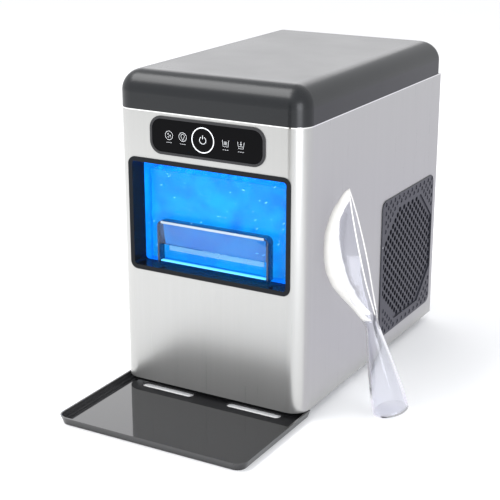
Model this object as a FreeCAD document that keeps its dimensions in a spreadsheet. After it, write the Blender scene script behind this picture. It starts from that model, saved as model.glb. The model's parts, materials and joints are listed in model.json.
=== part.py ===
import FreeCAD, Part
import math
import os
import re
import Sketcher
from FreeCAD import Placement, Rotation, Vector

# Countertop nugget ice maker. Millimetres, +Z up, the front faces -Y, and the origin
# is the centre of the body's footprint on the surface that it stands on.

doc = FreeCAD.newDocument("IceMaker")
sheet = doc.addObject("Spreadsheet::Sheet", "Sizes")

SIZES = [
    # casing
    ("body_width", 260, "width of the casing"),
    ("body_depth", 412, "depth of the casing"),
    ("base_height", 11, "floor to the lower edge of the casing"),
    ("seam_height", 365, "floor to the lower edge of the top cover"),
    ("top_height", 411, "floor to the top of the cover"),
    ("sheet_gauge", 1, "thickness of the steel casing"),
    ("corner_radius", 22, "front vertical corners of the casing"),
    ("cover_radius", 26, "rounded upper edge of the top cover"),
    ("cover_wall", 2.5, "wall of the top cover"),
    # drawer window in the front
    ("window_half", 113, "half width of the window frame"),
    ("window_low", 161, "lower edge of the window frame"),
    ("window_high", 306, "upper edge of the window frame"),
    ("window_corner", 10, "outer corner radius of the window frame"),
    ("frame_lip", 4, "width of the frame's visible lip"),
    ("frame_wall", 1.8, "wall of the frame's recess"),
    ("lip_proud", 0.9, "how far trims stand proud of the casing"),
    ("recess_depth", 21, "front plane to the drawer window"),
    ("pane_gauge", 3, "thickness of the drawer window"),
    ("pane_gap", 0.8, "clearance round the drawer window"),
    # finger pull on the drawer
    ("pull_half", 79, "half width of the finger pull"),
    ("pull_low", 169, "foot of the finger pull's legs"),
    ("pull_high", 226, "top of the finger pull"),
    ("pull_depth", 13, "how far the pull stands out of the window"),
    ("pull_wall", 3, "wall of the finger pull"),
    ("pull_lip", 196, "lower edge of the pull's front face"),
    # control panel
    ("panel_half", 79.5, "half width of the control panel"),
    ("panel_low", 313.5, "lower edge of the control panel"),
    ("panel_high", 360.5, "upper edge of the control panel"),
    ("panel_corner", 16, "corner radius of the control panel"),
    ("bezel_lip", 3.2, "width of the control panel's bezel"),
    # side grille
    ("grille_front", 18, "front edge of the side grille"),
    ("grille_rear", 194, "rear edge of the side grille"),
    ("grille_low", 32, "lower edge of the side grille"),
    ("grille_high", 224, "upper edge of the side grille"),
    ("grille_corner", 12, "corner radius of the side grille"),
    ("mesh_y", 107.6, "centre of the perforated octagon, along the side"),
    ("mesh_z", 125.4, "centre of the perforated octagon, height"),
    ("mesh_half_y", 79.4, "half length of the field of holes"),
    ("mesh_half_z", 74.6, "half height of the field of holes"),
    ("mesh_cut_y", 43, "corner cut of the octagon along the side"),
    ("mesh_cut_z", 41, "corner cut of the octagon in height"),
    ("mesh_border", 4.2, "sunken border round the field of holes"),
    ("mesh_pitch_y", 7.2, "column pitch of the perforation"),
    ("mesh_pitch_z", 12.4, "row pitch of the perforation"),
    ("mesh_hole_long", 7.6, "length of one hole"),
    ("mesh_hole_high", 7.5, "height of one hole"),
    # back panel
    ("louvre_low", 190, "lowest louvre slot in the back"),
    ("louvre_pitch", 9, "pitch of the louvre slots"),
    ("louvre_count", 14, "louvre slots in one column"),
    # drip tray
    ("tray_half", 131, "half width of the drip tray at its rim"),
    ("tray_front", 350, "distance of the tray's front rim from the centre"),
    ("tray_rear", 183, "distance of the tray's rear edge from the centre"),
    ("tray_height", 10.4, "height of the tray's rim"),
    ("tray_flare", 4, "outward slope of the tray's wall"),
    ("tray_wall", 2, "wall of the tray"),
    ("tray_corner", 15, "front corner radius of the tray"),
    # ice bin and its compartment
    ("liner_half", 111, "half width of the ice compartment"),
    ("liner_low", 158.4, "underside of the ice compartment"),
    ("liner_high", 306.8, "top of the ice compartment"),
    ("liner_rear", 22, "distance of the compartment's back from the centre"),
    ("liner_wall", 1.6, "wall of the ice compartment"),
    ("bin_half", 102, "half width of the ice bin"),
    ("bin_low", 168, "underside of the ice bin"),
    ("bin_high", 286, "rim of the ice bin"),
    ("bin_rear", 32, "distance of the bin's back from the centre"),
    ("bin_wall", 2.2, "wall of the ice bin"),
    # water system
    ("tank_half", 100, "half width of the water tank"),
    ("tank_low", 13.8, "underside of the water tank"),
    ("tank_high", 138, "rim of the water tank"),
    ("tank_front", 190, "distance of the tank's front from the centre"),
    ("tank_rear", 30, "distance of the tank's back from the centre"),
    ("tank_wall", 2, "wall of the water tank"),
    ("hose_radius", 4, "water hose"),
    # ice making column
    ("column_x", -60, "axis of the ice making column, across"),
    ("column_y", 45, "axis of the ice making column, along"),
    ("barrel_low", 216, "foot of the freezing barrel"),
    ("barrel_high", 318, "top of the freezing barrel"),
    ("barrel_radius", 22, "outside of the freezing barrel"),
    ("bore_radius", 16.4, "bore of the freezing barrel"),
    ("shaft_radius", 4, "shaft of the auger"),
    ("flight_radius", 15.8, "outside of the auger's flight"),
    ("core_radius", 9, "core of the auger"),
    ("flight_pitch", 17, "pitch of the auger's flight"),
    ("running_gap", 0.05, "radial clearance of a shaft in its bearing"),
    ("tube_radius", 3, "refrigerant tube"),
    # gears
    ("gear_module", 1.5, "module of the gear pair"),
    ("gear_teeth", 32, "teeth of the auger's gear"),
    ("pinion_teeth", 12, "teeth of the motor's pinion"),
    ("gear_backlash", 0.6, "spread of the gear centres"),
    ("gear_low", 190, "underside of the gears"),
    ("gear_width", 10, "face width of the gears"),
    # refrigeration
    ("comp_x", -58, "axis of the compressor, across"),
    ("comp_y", 142, "axis of the compressor, along"),
    ("comp_radius", 50, "shell of the compressor"),
    ("comp_low", 36, "underside of the compressor shell"),
    ("comp_high", 164, "top of the compressor shell"),
    ("fan_y", 107.6, "axis of the fan, along"),
    ("fan_z", 125.4, "axis of the fan, height"),
    ("fan_radius", 66, "tip of the fan blades"),
    # scoop
    ("scoop_reach", 210.5, "distance of the scoop's foot from the centre"),
    ("scoop_length", 290, "length of the scoop"),
    ("scoop_foot", 22.5, "radius of the scoop's foot"),
]

for row, (alias, value, note) in enumerate(SIZES, 1):
    sheet.set(f"A{row}", note)
    sheet.set(f"B{row}", str(value))
    sheet.setAlias(f"B{row}", alias)
doc.recompute()

ALIASES = {alias for alias, value, note in SIZES}
FLOOR = 0.0
NODES = {}


def size(formula):
    """The value of a formula written in the sheet's names."""
    return float(sheet.evalExpression(str(formula)))


def bind(item, field, formula):
    """Tie one property of an object to the sheet."""
    def qualify(word):
        return "Sizes." + word.group(0) if word.group(0) in ALIASES else word.group(0)
    item.setExpression(field, re.sub(r"[a-z][a-z_]+", qualify, str(formula)))


def keep(name, item):
    """Make an object one of the machine's pieces."""
    item.Label = name
    NODES[name] = item
    return item


def negative(formula):
    return f"-({formula})"


def total(low, high):
    return f"({high}) - ({low})"


# ---------------------------------------------------------------- primitives

def block(name, across, along, upright):
    """A box between two formulas on each axis."""
    item = doc.addObject("Part::Box", name)
    for field, (low, high) in zip(("Length", "Width", "Height"), (across, along, upright)):
        bind(item, field, total(low, high))
    for letter, (low, high) in zip("xyz", (across, along, upright)):
        bind(item, f"Placement.Base.{letter}", low)
    return item


TURN = {"x": Rotation(Vector(0, 1, 0), 90), "y": Rotation(Vector(1, 0, 0), -90), "z": Rotation()}


def turned(item, axis, centre, low):
    """Point an object's own Z along an axis, starting at low."""
    item.Placement = Placement(Vector(), TURN[axis])
    places = list(centre)
    places.insert("xyz".index(axis), low)
    for letter, place in zip("xyz", places):
        bind(item, f"Placement.Base.{letter}", place)
    return item


def rod(name, radius, axis, centre, low, high):
    """A round bar along an axis; centre is its place on the two other axes."""
    item = doc.addObject("Part::Cylinder", name)
    bind(item, "Radius", radius)
    bind(item, "Height", total(low, high))
    return turned(item, axis, centre, low)


def taper(name, first, second, axis, centre, low, high):
    """A round bar whose radius changes from first to second."""
    item = doc.addObject("Part::Cone", name)
    bind(item, "Radius1", first)
    bind(item, "Radius2", second)
    bind(item, "Height", total(low, high))
    return turned(item, axis, centre, low)


def ring(name, radius, thickness, axis, centre, place):
    item = doc.addObject("Part::Torus", name)
    bind(item, "Radius1", radius)
    bind(item, "Radius2", thickness)
    return turned(item, axis, centre, place)


def join(name, *parts):
    item = doc.addObject("Part::MultiFuse", name)
    item.Shapes = list(parts)
    return item


def group(name, *parts):
    """Separate solids that share one node."""
    item = doc.addObject("Part::Compound", name)
    item.Links = list(parts)
    return item


def without(name, base, *tools):
    item = doc.addObject("Part::Cut", name)
    item.Base = base
    item.Tool = tools[0] if len(tools) == 1 else join(name + "Tools", *tools)
    return item


def shared(name, first, second):
    item = doc.addObject("Part::Common", name)
    item.Base = first
    item.Tool = second
    return item


def softened(name, base, radius, wanted):
    """Round the edges of base that wanted(edge) picks."""
    doc.recompute()
    item = doc.addObject("Part::Fillet", name)
    item.Base = base
    picked = [i for i, edge in enumerate(base.Shape.Edges, 1) if wanted(edge)]
    item.Edges = [(i, size(radius), size(radius)) for i in picked]
    return item


def bent_path(name, points, bend):
    """Straight runs through the points, joined by tangent arcs."""
    corners = [Vector(*point) for point in points]
    edges = []
    start = corners[0]
    for before, here, after in zip(corners, corners[1:], corners[2:]):
        back = (before - here).normalize()
        ahead = (after - here).normalize()
        half = back.getAngle(ahead) / 2
        reach = min(bend / math.tan(half), 0.48 * min(before.distanceToPoint(here),
                                                      here.distanceToPoint(after)))
        radius = reach * math.tan(half)
        middle = (back + ahead).normalize() * (radius / math.sin(half) - radius)
        edges.append(Part.LineSegment(start, here + back * reach).toShape())
        edges.append(Part.Arc(here + back * reach, here + middle, here + ahead * reach).toShape())
        start = here + ahead * reach
    edges.append(Part.LineSegment(start, corners[-1]).toShape())
    item = doc.addObject("Part::Feature", name + "Route")
    item.Shape = Part.Wire(edges)
    return item


def tube(name, points, radius, bend=14):
    """A round tube along a bent path."""
    route = bent_path(name, points, bend)
    section = doc.addObject("Part::Circle", name + "Section")
    bind(section, "Radius", radius)
    heading = Vector(*points[1]) - Vector(*points[0])
    section.Placement = Placement(Vector(*points[0]), Rotation(Vector(0, 0, 1), heading))
    item = doc.addObject("Part::Sweep", name)
    item.Sections = [section]
    item.Spine = (route, [f"Edge{i + 1}" for i in range(len(route.Shape.Edges))])
    item.Solid = True
    item.Frenet = False
    return item


# ---------------------------------------------------------------- bodies made from sketches

def body(name):
    item = doc.addObject("PartDesign::Body", name)
    return keep(name, item)


def sketch(owner, role, offset):
    """A sketch on one of the body's own origin planes, moved along its normal."""
    item = owner.newObject("Sketcher::SketchObject", "Outline")
    face = next(f for f in owner.Origin.OriginFeatures if f.Role == role)
    item.AttachmentSupport = [(face, "")]
    item.MapMode = "FlatFace"
    bind(item, "AttachmentOffset.Base.z", offset)
    return item


def measure(item, kind, first, second, formula, name):
    """A named sketch dimension from the sketch's origin, tied to the sheet."""
    index = item.addConstraint(Sketcher.Constraint(kind, -1, 1, first, second, size(formula)))
    item.renameConstraint(index, name)
    bind(item, "Constraints." + name, formula)


def rectangle(item, across, upright):
    """Four lines between the formulas on the sketch's two axes."""
    left, right = (size(f) for f in across)
    low, high = (size(f) for f in upright)
    corners = [Vector(left, low, 0), Vector(right, low, 0), Vector(right, high, 0), Vector(left, high, 0)]
    first = item.GeometryCount
    for start, end in zip(corners, corners[1:] + corners[:1]):
        item.addGeometry(Part.LineSegment(start, end), False)
    for i in range(4):
        item.addConstraint(Sketcher.Constraint("Coincident", first + i, 2, first + (i + 1) % 4, 1))
        item.addConstraint(Sketcher.Constraint(("Horizontal", "Vertical")[i % 2], first + i))
    tag = f"g{first}"
    measure(item, "DistanceX", first + 3, 1, across[0], tag + "left")
    measure(item, "DistanceX", first + 1, 1, across[1], tag + "right")
    measure(item, "DistanceY", first, 1, upright[0], tag + "low")
    measure(item, "DistanceY", first + 2, 1, upright[1], tag + "high")


def rounded(item, across, upright, radius):
    """A rectangle with four equal round corners."""
    left, right = (size(f) for f in across)
    low, high = (size(f) for f in upright)
    r = size(radius)
    quarter = math.pi / 2
    first = item.GeometryCount
    ends = [((left + r, low), (right - r, low)), ((right, low + r), (right, high - r)),
            ((right - r, high), (left + r, high)), ((left, high - r), (left, low + r))]
    centres = [(right - r, low + r), (right - r, high - r), (left + r, high - r), (left + r, low + r)]
    for start, end in ends:
        item.addGeometry(Part.LineSegment(Vector(*start, 0), Vector(*end, 0)), False)
    for turn, centre in enumerate(centres, -1):
        circle = Part.Circle(Vector(*centre, 0), Vector(0, 0, 1), r)
        item.addGeometry(Part.ArcOfCircle(circle, turn * quarter, (turn + 1) * quarter), False)
    for i in range(4):
        arc = first + 4 + i
        item.addConstraint(Sketcher.Constraint("Tangent", first + i, 2, arc, 1))
        item.addConstraint(Sketcher.Constraint("Tangent", arc, 2, first + (i + 1) % 4, 1))
        item.addConstraint(Sketcher.Constraint(("Horizontal", "Vertical")[i % 2], first + i))
        if i:
            item.addConstraint(Sketcher.Constraint("Equal", first + 4, arc))
    tag = f"g{first}"
    index = item.addConstraint(Sketcher.Constraint("Radius", first + 4, r))
    item.renameConstraint(index, tag + "corner")
    bind(item, f"Constraints.{tag}corner", radius)
    measure(item, "DistanceX", first + 3, 1, across[0], tag + "left")
    measure(item, "DistanceX", first + 1, 1, across[1], tag + "right")
    measure(item, "DistanceY", first, 1, upright[0], tag + "low")
    measure(item, "DistanceY", first + 2, 1, upright[1], tag + "high")


def disc(item, centre, radius):
    first = item.GeometryCount
    spot = Vector(size(centre[0]), size(centre[1]), 0)
    item.addGeometry(Part.Circle(spot, Vector(0, 0, 1), size(radius)), False)
    tag = f"g{first}"
    index = item.addConstraint(Sketcher.Constraint("Radius", first, size(radius)))
    item.renameConstraint(index, tag + "radius")
    bind(item, f"Constraints.{tag}radius", radius)
    measure(item, "DistanceX", first, 3, centre[0], tag + "x")
    measure(item, "DistanceY", first, 3, centre[1], tag + "y")


def polygon(item, points):
    """Straight sides through points given as formulas."""
    corners = [Vector(size(u), size(v), 0) for u, v in points]
    first = item.GeometryCount
    for start, end in zip(corners, corners[1:] + corners[:1]):
        item.addGeometry(Part.LineSegment(start, end), False)
    for i, (u, v) in enumerate(points):
        item.addConstraint(Sketcher.Constraint("Coincident", first + i, 2, first + (i + 1) % len(points), 1))
        measure(item, "DistanceX", first + i, 1, u, f"g{first}x{i}")
        measure(item, "DistanceY", first + i, 1, v, f"g{first}y{i}")


NORMAL = {"z": ("XY_Plane", 1), "y": ("XZ_Plane", -1), "x": ("YZ_Plane", 1)}


def solid(owner, axis, low, high, *outlines):
    """Pad outlines between two places on an axis."""
    role, sign = NORMAL[axis]
    item = sketch(owner, role, low if sign > 0 else negative(high))
    for draw in outlines:
        draw(item)
    pad = owner.newObject("PartDesign::Pad", "Pad")
    pad.Profile = item
    bind(pad, "Length", total(low, high))
    doc.recompute()
    return pad


def hollow(owner, axis, low, high, *outlines):
    """Pocket outlines between two places on an axis, and see that it cuts."""
    before = owner.Shape.Volume
    role, sign = NORMAL[axis]
    item = sketch(owner, role, high if sign > 0 else negative(low))
    for draw in outlines:
        draw(item)
    pocket = owner.newObject("PartDesign::Pocket", "Pocket")
    pocket.Profile = item
    bind(pocket, "Length", total(low, high))
    doc.recompute()
    if owner.Shape.Volume >= before:
        raise RuntimeError(f"{owner.Label}: a pocket cuts nothing")
    return pocket


def box_outline(across, upright):
    return lambda item: rectangle(item, across, upright)


def round_outline(across, upright, radius):
    return lambda item: rounded(item, across, upright, radius)


def disc_outline(centre, radius):
    return lambda item: disc(item, centre, radius)


def corner_outline(points):
    return lambda item: polygon(item, points)


def round_edges(owner, radius, wanted):
    """A fillet on the body's edges that wanted(edge) picks."""
    doc.recompute()
    base = owner.Tip
    names = [f"Edge{i}" for i, edge in enumerate(base.Shape.Edges, 1) if wanted(edge)]
    item = owner.newObject("PartDesign::Fillet", "Round")
    item.Base = (base, names)
    bind(item, "Radius", radius)
    doc.recompute()
    return item


def repeat(owner, feature, role, pitch, count):
    """A row of copies of one feature along an axis of the body."""
    row = owner.newObject("PartDesign::LinearPattern", "Row")
    row.Originals = [feature]
    row.Direction = (next(f for f in owner.Origin.OriginFeatures if f.Role == role), [""])
    bind(row, "Length", f"({pitch}) * ({count} - 1)")
    bind(row, "Occurrences", count)
    owner.Tip = row
    doc.recompute()


def upright_at(edge, across, along):
    """True for a vertical edge at a place given by two tests."""
    box = edge.BoundBox
    vertical = box.ZLength > 1 and box.XLength < 0.01 and box.YLength < 0.01
    return vertical and across(box.Center.x) and along(box.Center.y)


HALF_W = "body_width / 2"
HALF_D = "body_depth / 2"
FRONT = "-body_depth / 2"
REAR = "body_depth / 2"


def both(half):
    """A span centred on zero."""
    return (negative(half), half)


# ================================================================ casing

def casing_plan(name, low, high, inset, rear):
    """A plate or shell blank with the casing's plan: round front corners, square rear ones."""
    owner = body(name)
    span = both(f"{HALF_W} - ({inset})")
    solid(owner, "z", low, high, box_outline(span, (f"{FRONT} + ({inset})", rear)))
    round_edges(owner, f"corner_radius - ({inset})", lambda e: upright_at(e, lambda x: True, lambda y: y < 0))
    return owner


def stainless_wrap():
    """Front and both sides, bent from one sheet, with openings for the trims."""
    owner = casing_plan("stainless_wrap", "base_height", "seam_height", "0", REAR)
    hollow(owner, "z", "base_height", "seam_height", round_outline(
        both(f"{HALF_W} - sheet_gauge"), (f"{FRONT} + sheet_gauge", f"{REAR} + corner_radius + 5"),
        "corner_radius - sheet_gauge"))
    through = (f"{FRONT} - 1", f"{FRONT} + sheet_gauge + 1")
    hollow(owner, "y", *through, round_outline(
        both("window_half - frame_lip + 0.4"),
        ("window_low + frame_lip - 0.4", "window_high - frame_lip + 0.4"),
        "window_corner - frame_lip + 0.4"))
    hollow(owner, "y", *through, round_outline(
        both("panel_half - 1.6"), ("panel_low + 1.6", "panel_high - 1.6"), "panel_corner - 1.6"))
    hollow(owner, "x", f"{HALF_W} - sheet_gauge - 1", f"{HALF_W} + 1", round_outline(
        ("grille_front + 6", "grille_rear - 2.5"), ("grille_low + 6", "grille_high - 5"),
        "grille_corner - 4"))


def rear_panel():
    """Flat back with louvre slots, the drain hole and the gland's hole."""
    owner = body("rear_panel")
    gauge = (f"{REAR} - sheet_gauge - 0.2", f"{REAR} - 0.2")
    solid(owner, "y", *gauge,
          box_outline(both(f"{HALF_W} - sheet_gauge - 0.3"), ("base_height + 0.5", "seam_height - 0.5")))
    cut = (f"{REAR} - sheet_gauge - 2", f"{REAR} + 1")
    hollow(owner, "y", *cut, disc_outline(("-112", "34"), "6.2"))
    hollow(owner, "y", *cut, disc_outline(("100", "40"), "7.2"))
    for column in (-52, 52):
        slot = hollow(owner, "y", *cut, round_outline(
            (f"{column} - 38", f"{column} + 38"), ("louvre_low", "louvre_low + 4"), "1.9"))
        repeat(owner, slot, "Z_Axis", "louvre_pitch", "louvre_count")


def base_pan():
    """Floor of the machine with an upturned rim."""
    owner = casing_plan("base_pan", "base_height + 0.5", "base_height + 14", "sheet_gauge + 0.3",
                        f"{REAR} - sheet_gauge - 0.4")
    hollow(owner, "z", "base_height + 2.5", "base_height + 15", round_outline(
        both(f"{HALF_W} - sheet_gauge - 2.3"), (f"{FRONT} + sheet_gauge + 2.3", f"{REAR} - sheet_gauge - 2.4"),
        "corner_radius - sheet_gauge - 2.3"))


def top_cover():
    """Moulded cover with a large soft edge, open underneath."""
    owner = body("top_cover")
    solid(owner, "z", "seam_height", "top_height", box_outline(both(HALF_W), (FRONT, REAR)))
    round_edges(owner, "corner_radius", lambda e: upright_at(e, lambda x: True, lambda y: y < 0))
    round_edges(owner, "corner_radius / 2", lambda e: upright_at(e, lambda x: True, lambda y: y > 0))
    crown = size("top_height")
    round_edges(owner, "cover_radius", lambda e: e.BoundBox.ZMin > crown - 0.01)
    hollow(owner, "z", "seam_height", "top_height - cover_radius", round_outline(
        both(f"{HALF_W} - cover_wall"), (f"{FRONT} + cover_wall", f"{REAR} - cover_wall"),
        "corner_radius - cover_wall"))
    hollow(owner, "z", "top_height - cover_radius - 0.1", "top_height - cover_wall - 1", round_outline(
        both(f"{HALF_W} - 15"), (f"{FRONT} + 15", f"{REAR} - 15"), "8"))


def rubber_feet():
    """Four tapered rubber feet."""
    spots = [(x, y) for x in (-102, 102) for y in (-150, 178)]
    feet = [taper(f"Foot{i}", "11", "13", "z", (f"{x}", f"{y}"), FLOOR, "base_height + 0.5")
            for i, (x, y) in enumerate(spots)]
    keep("rubber_feet", group("RubberFeet", *feet))


def bulkhead():
    """Upright sheet between the cold front and the machinery."""
    owner = body("bulkhead")
    solid(owner, "y", "-14", "-12.8",
          box_outline(both(f"{HALF_W} - sheet_gauge - 0.4"), ("base_height + 14.2", "seam_height - 2")))
    hollow(owner, "y", "-15", "-11", round_outline(
        ("column_x - 31", "column_x + 31"), ("liner_high + 3", "liner_high + 50"), "4"))
    hollow(owner, "y", "-15", "-11", disc_outline(("column_x", "148"), "hose_radius + 0.4"),
           disc_outline(("-84", "40"), "hose_radius + 0.4"))


# ================================================================ front trims and ice drawer

def window_frame():
    """Dark lip round the opening with a smoked recess behind it."""
    owner = body("window_frame")
    lip = (f"{FRONT} - lip_proud", FRONT)
    outer = (both("window_half"), ("window_low", "window_high"), "window_corner")
    rim = (both("window_half - frame_lip"), ("window_low + frame_lip", "window_high - frame_lip"),
           "window_corner - frame_lip")
    solid(owner, "y", *lip, round_outline(*outer))
    solid(owner, "y", FRONT, f"{FRONT} + recess_depth + pane_gauge + 1", round_outline(*rim))
    inset = "(frame_lip + frame_wall)"
    hollow(owner, "y", f"{FRONT} - lip_proud - 1", f"{FRONT} + recess_depth + pane_gauge + 2", round_outline(
        both(f"window_half - {inset}"), (f"window_low + {inset}", f"window_high - {inset}"),
        f"window_corner - {inset}"))


def compartment_liner():
    """Insulated box behind the window, open to the front, with a hole for falling ice."""
    owner = body("compartment_liner")
    span = (f"{FRONT} + 3", "-liner_rear")
    solid(owner, "z", "liner_low", "liner_high", box_outline(both("liner_half"), span))
    hollow(owner, "z", "liner_low + liner_wall", "liner_high - liner_wall", box_outline(
        both("liner_half - liner_wall"), (f"{FRONT} + 2", "-liner_rear - liner_wall")))
    hollow(owner, "z", "liner_high - liner_wall - 1", "liner_high + 1", box_outline(
        ("column_x - 28", "column_x + 28"), ("-64", "-26")))


def led_strip():
    owner = body("led_strip")
    solid(owner, "x", "-90", "90", round_outline(
        ("-177", "-169"), ("liner_high - liner_wall - 4.4", "liner_high - liner_wall"), "1.5"))


def drawer_runners():
    """Two low ribs that carry the ice bin."""
    ribs = [block(f"Runner{i}", (f"{x} - 4", f"{x} + 4"), ("-176", "-30"),
                  ("liner_low + liner_wall", "bin_low - 0.3")) for i, x in enumerate((-70, 70))]
    keep("drawer_runners", group("DrawerRunners", *ribs))


def bin_sensors():
    """Pair of infrared sensors that look across the top of the bin."""
    eyes = []
    for i, side in enumerate((-1, 1)):
        low, high = sorted((side * 106.0, side * size("liner_half - liner_wall")))
        eyes.append(rod(f"Eye{i}", "5", "x", ("-60", "294"), low, high))
    keep("bin_sensors", group("BinSensors", *eyes))


PANE_INSET = "frame_lip + frame_wall + pane_gap"
PANE_SPAN = (f"{FRONT} + recess_depth", f"{FRONT} + recess_depth + pane_gauge")


def drawer_window():
    """Clear front of the drawer with a narrow ledge between the pull's legs."""
    owner = body("drawer_window")
    solid(owner, "y", *PANE_SPAN, round_outline(
        both(f"window_half - ({PANE_INSET})"),
        (f"window_low + {PANE_INSET}", f"window_high - ({PANE_INSET})"), "3.4"))
    solid(owner, "y", f"{FRONT} + recess_depth - 6", f"{FRONT} + recess_depth", box_outline(
        both("pull_half - pull_wall - 1"), ("pull_low + 2", "pull_low + 5")))


def drawer_pull():
    """Hood with two legs: fingers go up behind its front face."""
    owner = body("drawer_pull")
    back = f"{FRONT} + recess_depth"
    solid(owner, "y", f"{back} - pull_depth", f"{back} - 0.01", round_outline(
        both("pull_half"), ("pull_low", "pull_high"), "8"))
    hollow(owner, "y", f"{back} - pull_depth + 2.6", f"{back} + 1", round_outline(
        both("pull_half - pull_wall"), ("pull_low - 12", "pull_high - pull_wall"), "5.5"))
    hollow(owner, "y", f"{back} - pull_depth - 1", f"{back} - pull_depth + 3", box_outline(
        both("pull_half - pull_wall"), ("pull_low - 5", "pull_lip")))


def ice_bin():
    """Open tub fixed behind the drawer window."""
    owner = body("ice_bin")
    front = f"{FRONT} + recess_depth + pane_gauge"
    span = (f"{front} + 0.01", "-bin_rear")
    solid(owner, "z", "bin_low", "bin_high", round_outline(both("bin_half"), span, "7"))
    hollow(owner, "z", "bin_low + bin_wall", "bin_high + 1", round_outline(
        both("bin_half - bin_wall"), (f"{front} + bin_wall", "-bin_rear - bin_wall"), "5"))


# ================================================================ control panel

def control_bezel():
    owner = body("control_bezel")
    solid(owner, "y", f"{FRONT} - 1.3", FRONT,
          round_outline(both("panel_half"), ("panel_low", "panel_high"), "panel_corner"))
    solid(owner, "y", FRONT, f"{FRONT} + 3.5",
          round_outline(both("panel_half - 2"), ("panel_low + 2", "panel_high - 2"), "panel_corner - 2"))
    hollow(owner, "y", f"{FRONT} - 2", f"{FRONT} + 4", round_outline(
        both("panel_half - bezel_lip"), ("panel_low + bezel_lip", "panel_high - bezel_lip"),
        "panel_corner - bezel_lip"))


def control_glass():
    owner = body("control_glass")
    gap = "bezel_lip + 0.1"
    solid(owner, "y", f"{FRONT} - 0.6", f"{FRONT} + 1.6", round_outline(
        both(f"panel_half - ({gap})"), (f"panel_low + {gap}", f"panel_high - ({gap})"),
        f"panel_corner - ({gap})"))


def control_board():
    """Touch circuit board, its four light wells and the connector."""
    owner = body("control_board")
    solid(owner, "y", f"{FRONT} + 5", f"{FRONT} + 6.6", box_outline(
        both("70"), ("panel_low + 6", "panel_high - 6")))
    solid(owner, "y", f"{FRONT} + 6.6", f"{FRONT} + 14", box_outline(("50", "66"), ("328", "346")))


def light_mask():
    """Frame between the glass and the board that keeps the lamps apart."""
    owner = body("light_mask")
    solid(owner, "y", f"{FRONT} + 1.7", f"{FRONT} + 4.9", round_outline(
        both("72"), ("panel_low + 5", "panel_high - 5"), "8"))
    wells = [disc_outline((f"{x}", "337"), "8") for x in (-58, -37, 27, 50)]
    hollow(owner, "y", f"{FRONT} + 1", f"{FRONT} + 6", *wells)
    hollow(owner, "y", f"{FRONT} + 1", f"{FRONT} + 6", disc_outline(("-5", "337"), "16"))


# ================================================================ side grille

def octagon(border):
    """Corners of the sunken octagon on the side, as formulas."""
    half_y, half_z = f"(mesh_half_y + {border})", f"(mesh_half_z + {border})"
    points = []
    for side_y, side_z in ((-1, -1), (1, -1), (1, 1), (-1, 1)):
        level = (f"mesh_y + {side_y} * {half_y}", f"mesh_z + {side_z} * ({half_z} - mesh_cut_z)")
        steep = (f"mesh_y + {side_y} * ({half_y} - mesh_cut_y)", f"mesh_z + {side_z} * {half_z}")
        points += [level, steep] if side_y == side_z else [steep, level]
    return points


def inside_octagon(y, z, margin):
    """Whether a hole centre lies in the field with some margin."""
    dy = abs(y - size("mesh_y"))
    dz = abs(z - size("mesh_z"))
    half_y, half_z = size("mesh_half_y") - margin, size("mesh_half_z") - margin
    slope = dy / size("mesh_cut_y") + dz / size("mesh_cut_z")
    limit = half_y / size("mesh_cut_y") + half_z / size("mesh_cut_z") - 1
    return dy < half_y and dz < half_z and slope < limit


def oblong(y, z, depth, share=1.0):
    """Cutter for one hole of the perforation, or for a dent that is a share of its size."""
    half = size("mesh_hole_long / 2") * share
    r = size("mesh_hole_high / 2") * share
    flat = half - r
    x = size(HALF_W) + 2
    points = [Vector(x, y - flat, z - r), Vector(x, y + flat, z - r),
              Vector(x, y + flat, z + r), Vector(x, y - flat, z + r)]
    edges = [Part.LineSegment(points[0], points[1]), Part.Arc(points[1], Vector(x, y + half, z), points[2]),
             Part.LineSegment(points[2], points[3]), Part.Arc(points[3], Vector(x, y - half, z), points[0])]
    wire = Part.Wire([edge.toShape() for edge in edges])
    return Part.Face(wire).extrude(Vector(-depth, 0, 0))


def side_grille():
    """Moulded grille: holes through a sunken octagon, shallow dents round it."""
    face, floor, back = f"{HALF_W} + 1.4", f"{HALF_W} - 0.2", f"{HALF_W} - 3"
    plate = body("GrillePlate")
    NODES.pop("GrillePlate")
    solid(plate, "x", HALF_W, face, round_outline(
        ("grille_front", "grille_rear"), ("grille_low", "grille_high"), "grille_corner"))
    outer = size(face)
    round_edges(plate, "0.9", lambda e: e.BoundBox.XMin > outer - 0.01)
    solid(plate, "x", back, HALF_W, round_outline(
        ("grille_front + 6.4", "grille_rear - 2.9"), ("grille_low + 6.4", "grille_high - 5.4"),
        "grille_corner - 4.4"))
    hollow(plate, "x", floor, f"{face} + 1", corner_outline(octagon("mesh_border")))
    hollow(plate, "x", f"{back} - 1", f"{back} + 1", corner_outline(octagon("0")))
    through, dents = [], []
    pitch_y, pitch_z = size("mesh_pitch_y"), size("mesh_pitch_z")
    edge = 5.2
    for column in range(-12, 13):
        y = size("mesh_y") + column * pitch_y
        for step in range(-8, 9):
            z = size("mesh_z") + (step + 0.5 * (column % 2)) * pitch_z
            on_plate = (size("grille_front") + edge < y < size("grille_rear") - edge
                        and size("grille_low") + edge < z < size("grille_high") - edge)
            if inside_octagon(y, z, -0.4):
                through.append(oblong(y, z, 8))
            elif on_plate and not inside_octagon(y, z, -size("mesh_border") - 2.02):
                dents.append(oblong(y, z, 1.4, 0.8))
    item = doc.addObject("Part::Feature", "SideGrille")
    item.Shape = plate.Shape.cut(Part.makeCompound(through + dents))
    item.Placement = Placement()
    keep("side_grille", item)
    print("grille holes", len(through), "dents", len(dents))


# ================================================================ water system

def water_tank():
    owner = body("water_tank")
    span = ("-tank_front", "-tank_rear")
    solid(owner, "z", "tank_low", "tank_high", round_outline(both("tank_half"), span, "12"))
    hollow(owner, "z", "tank_low + tank_wall", "tank_high + 1", round_outline(
        both("tank_half - tank_wall"), ("-tank_front + tank_wall", "-tank_rear - tank_wall"), "10"))


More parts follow.
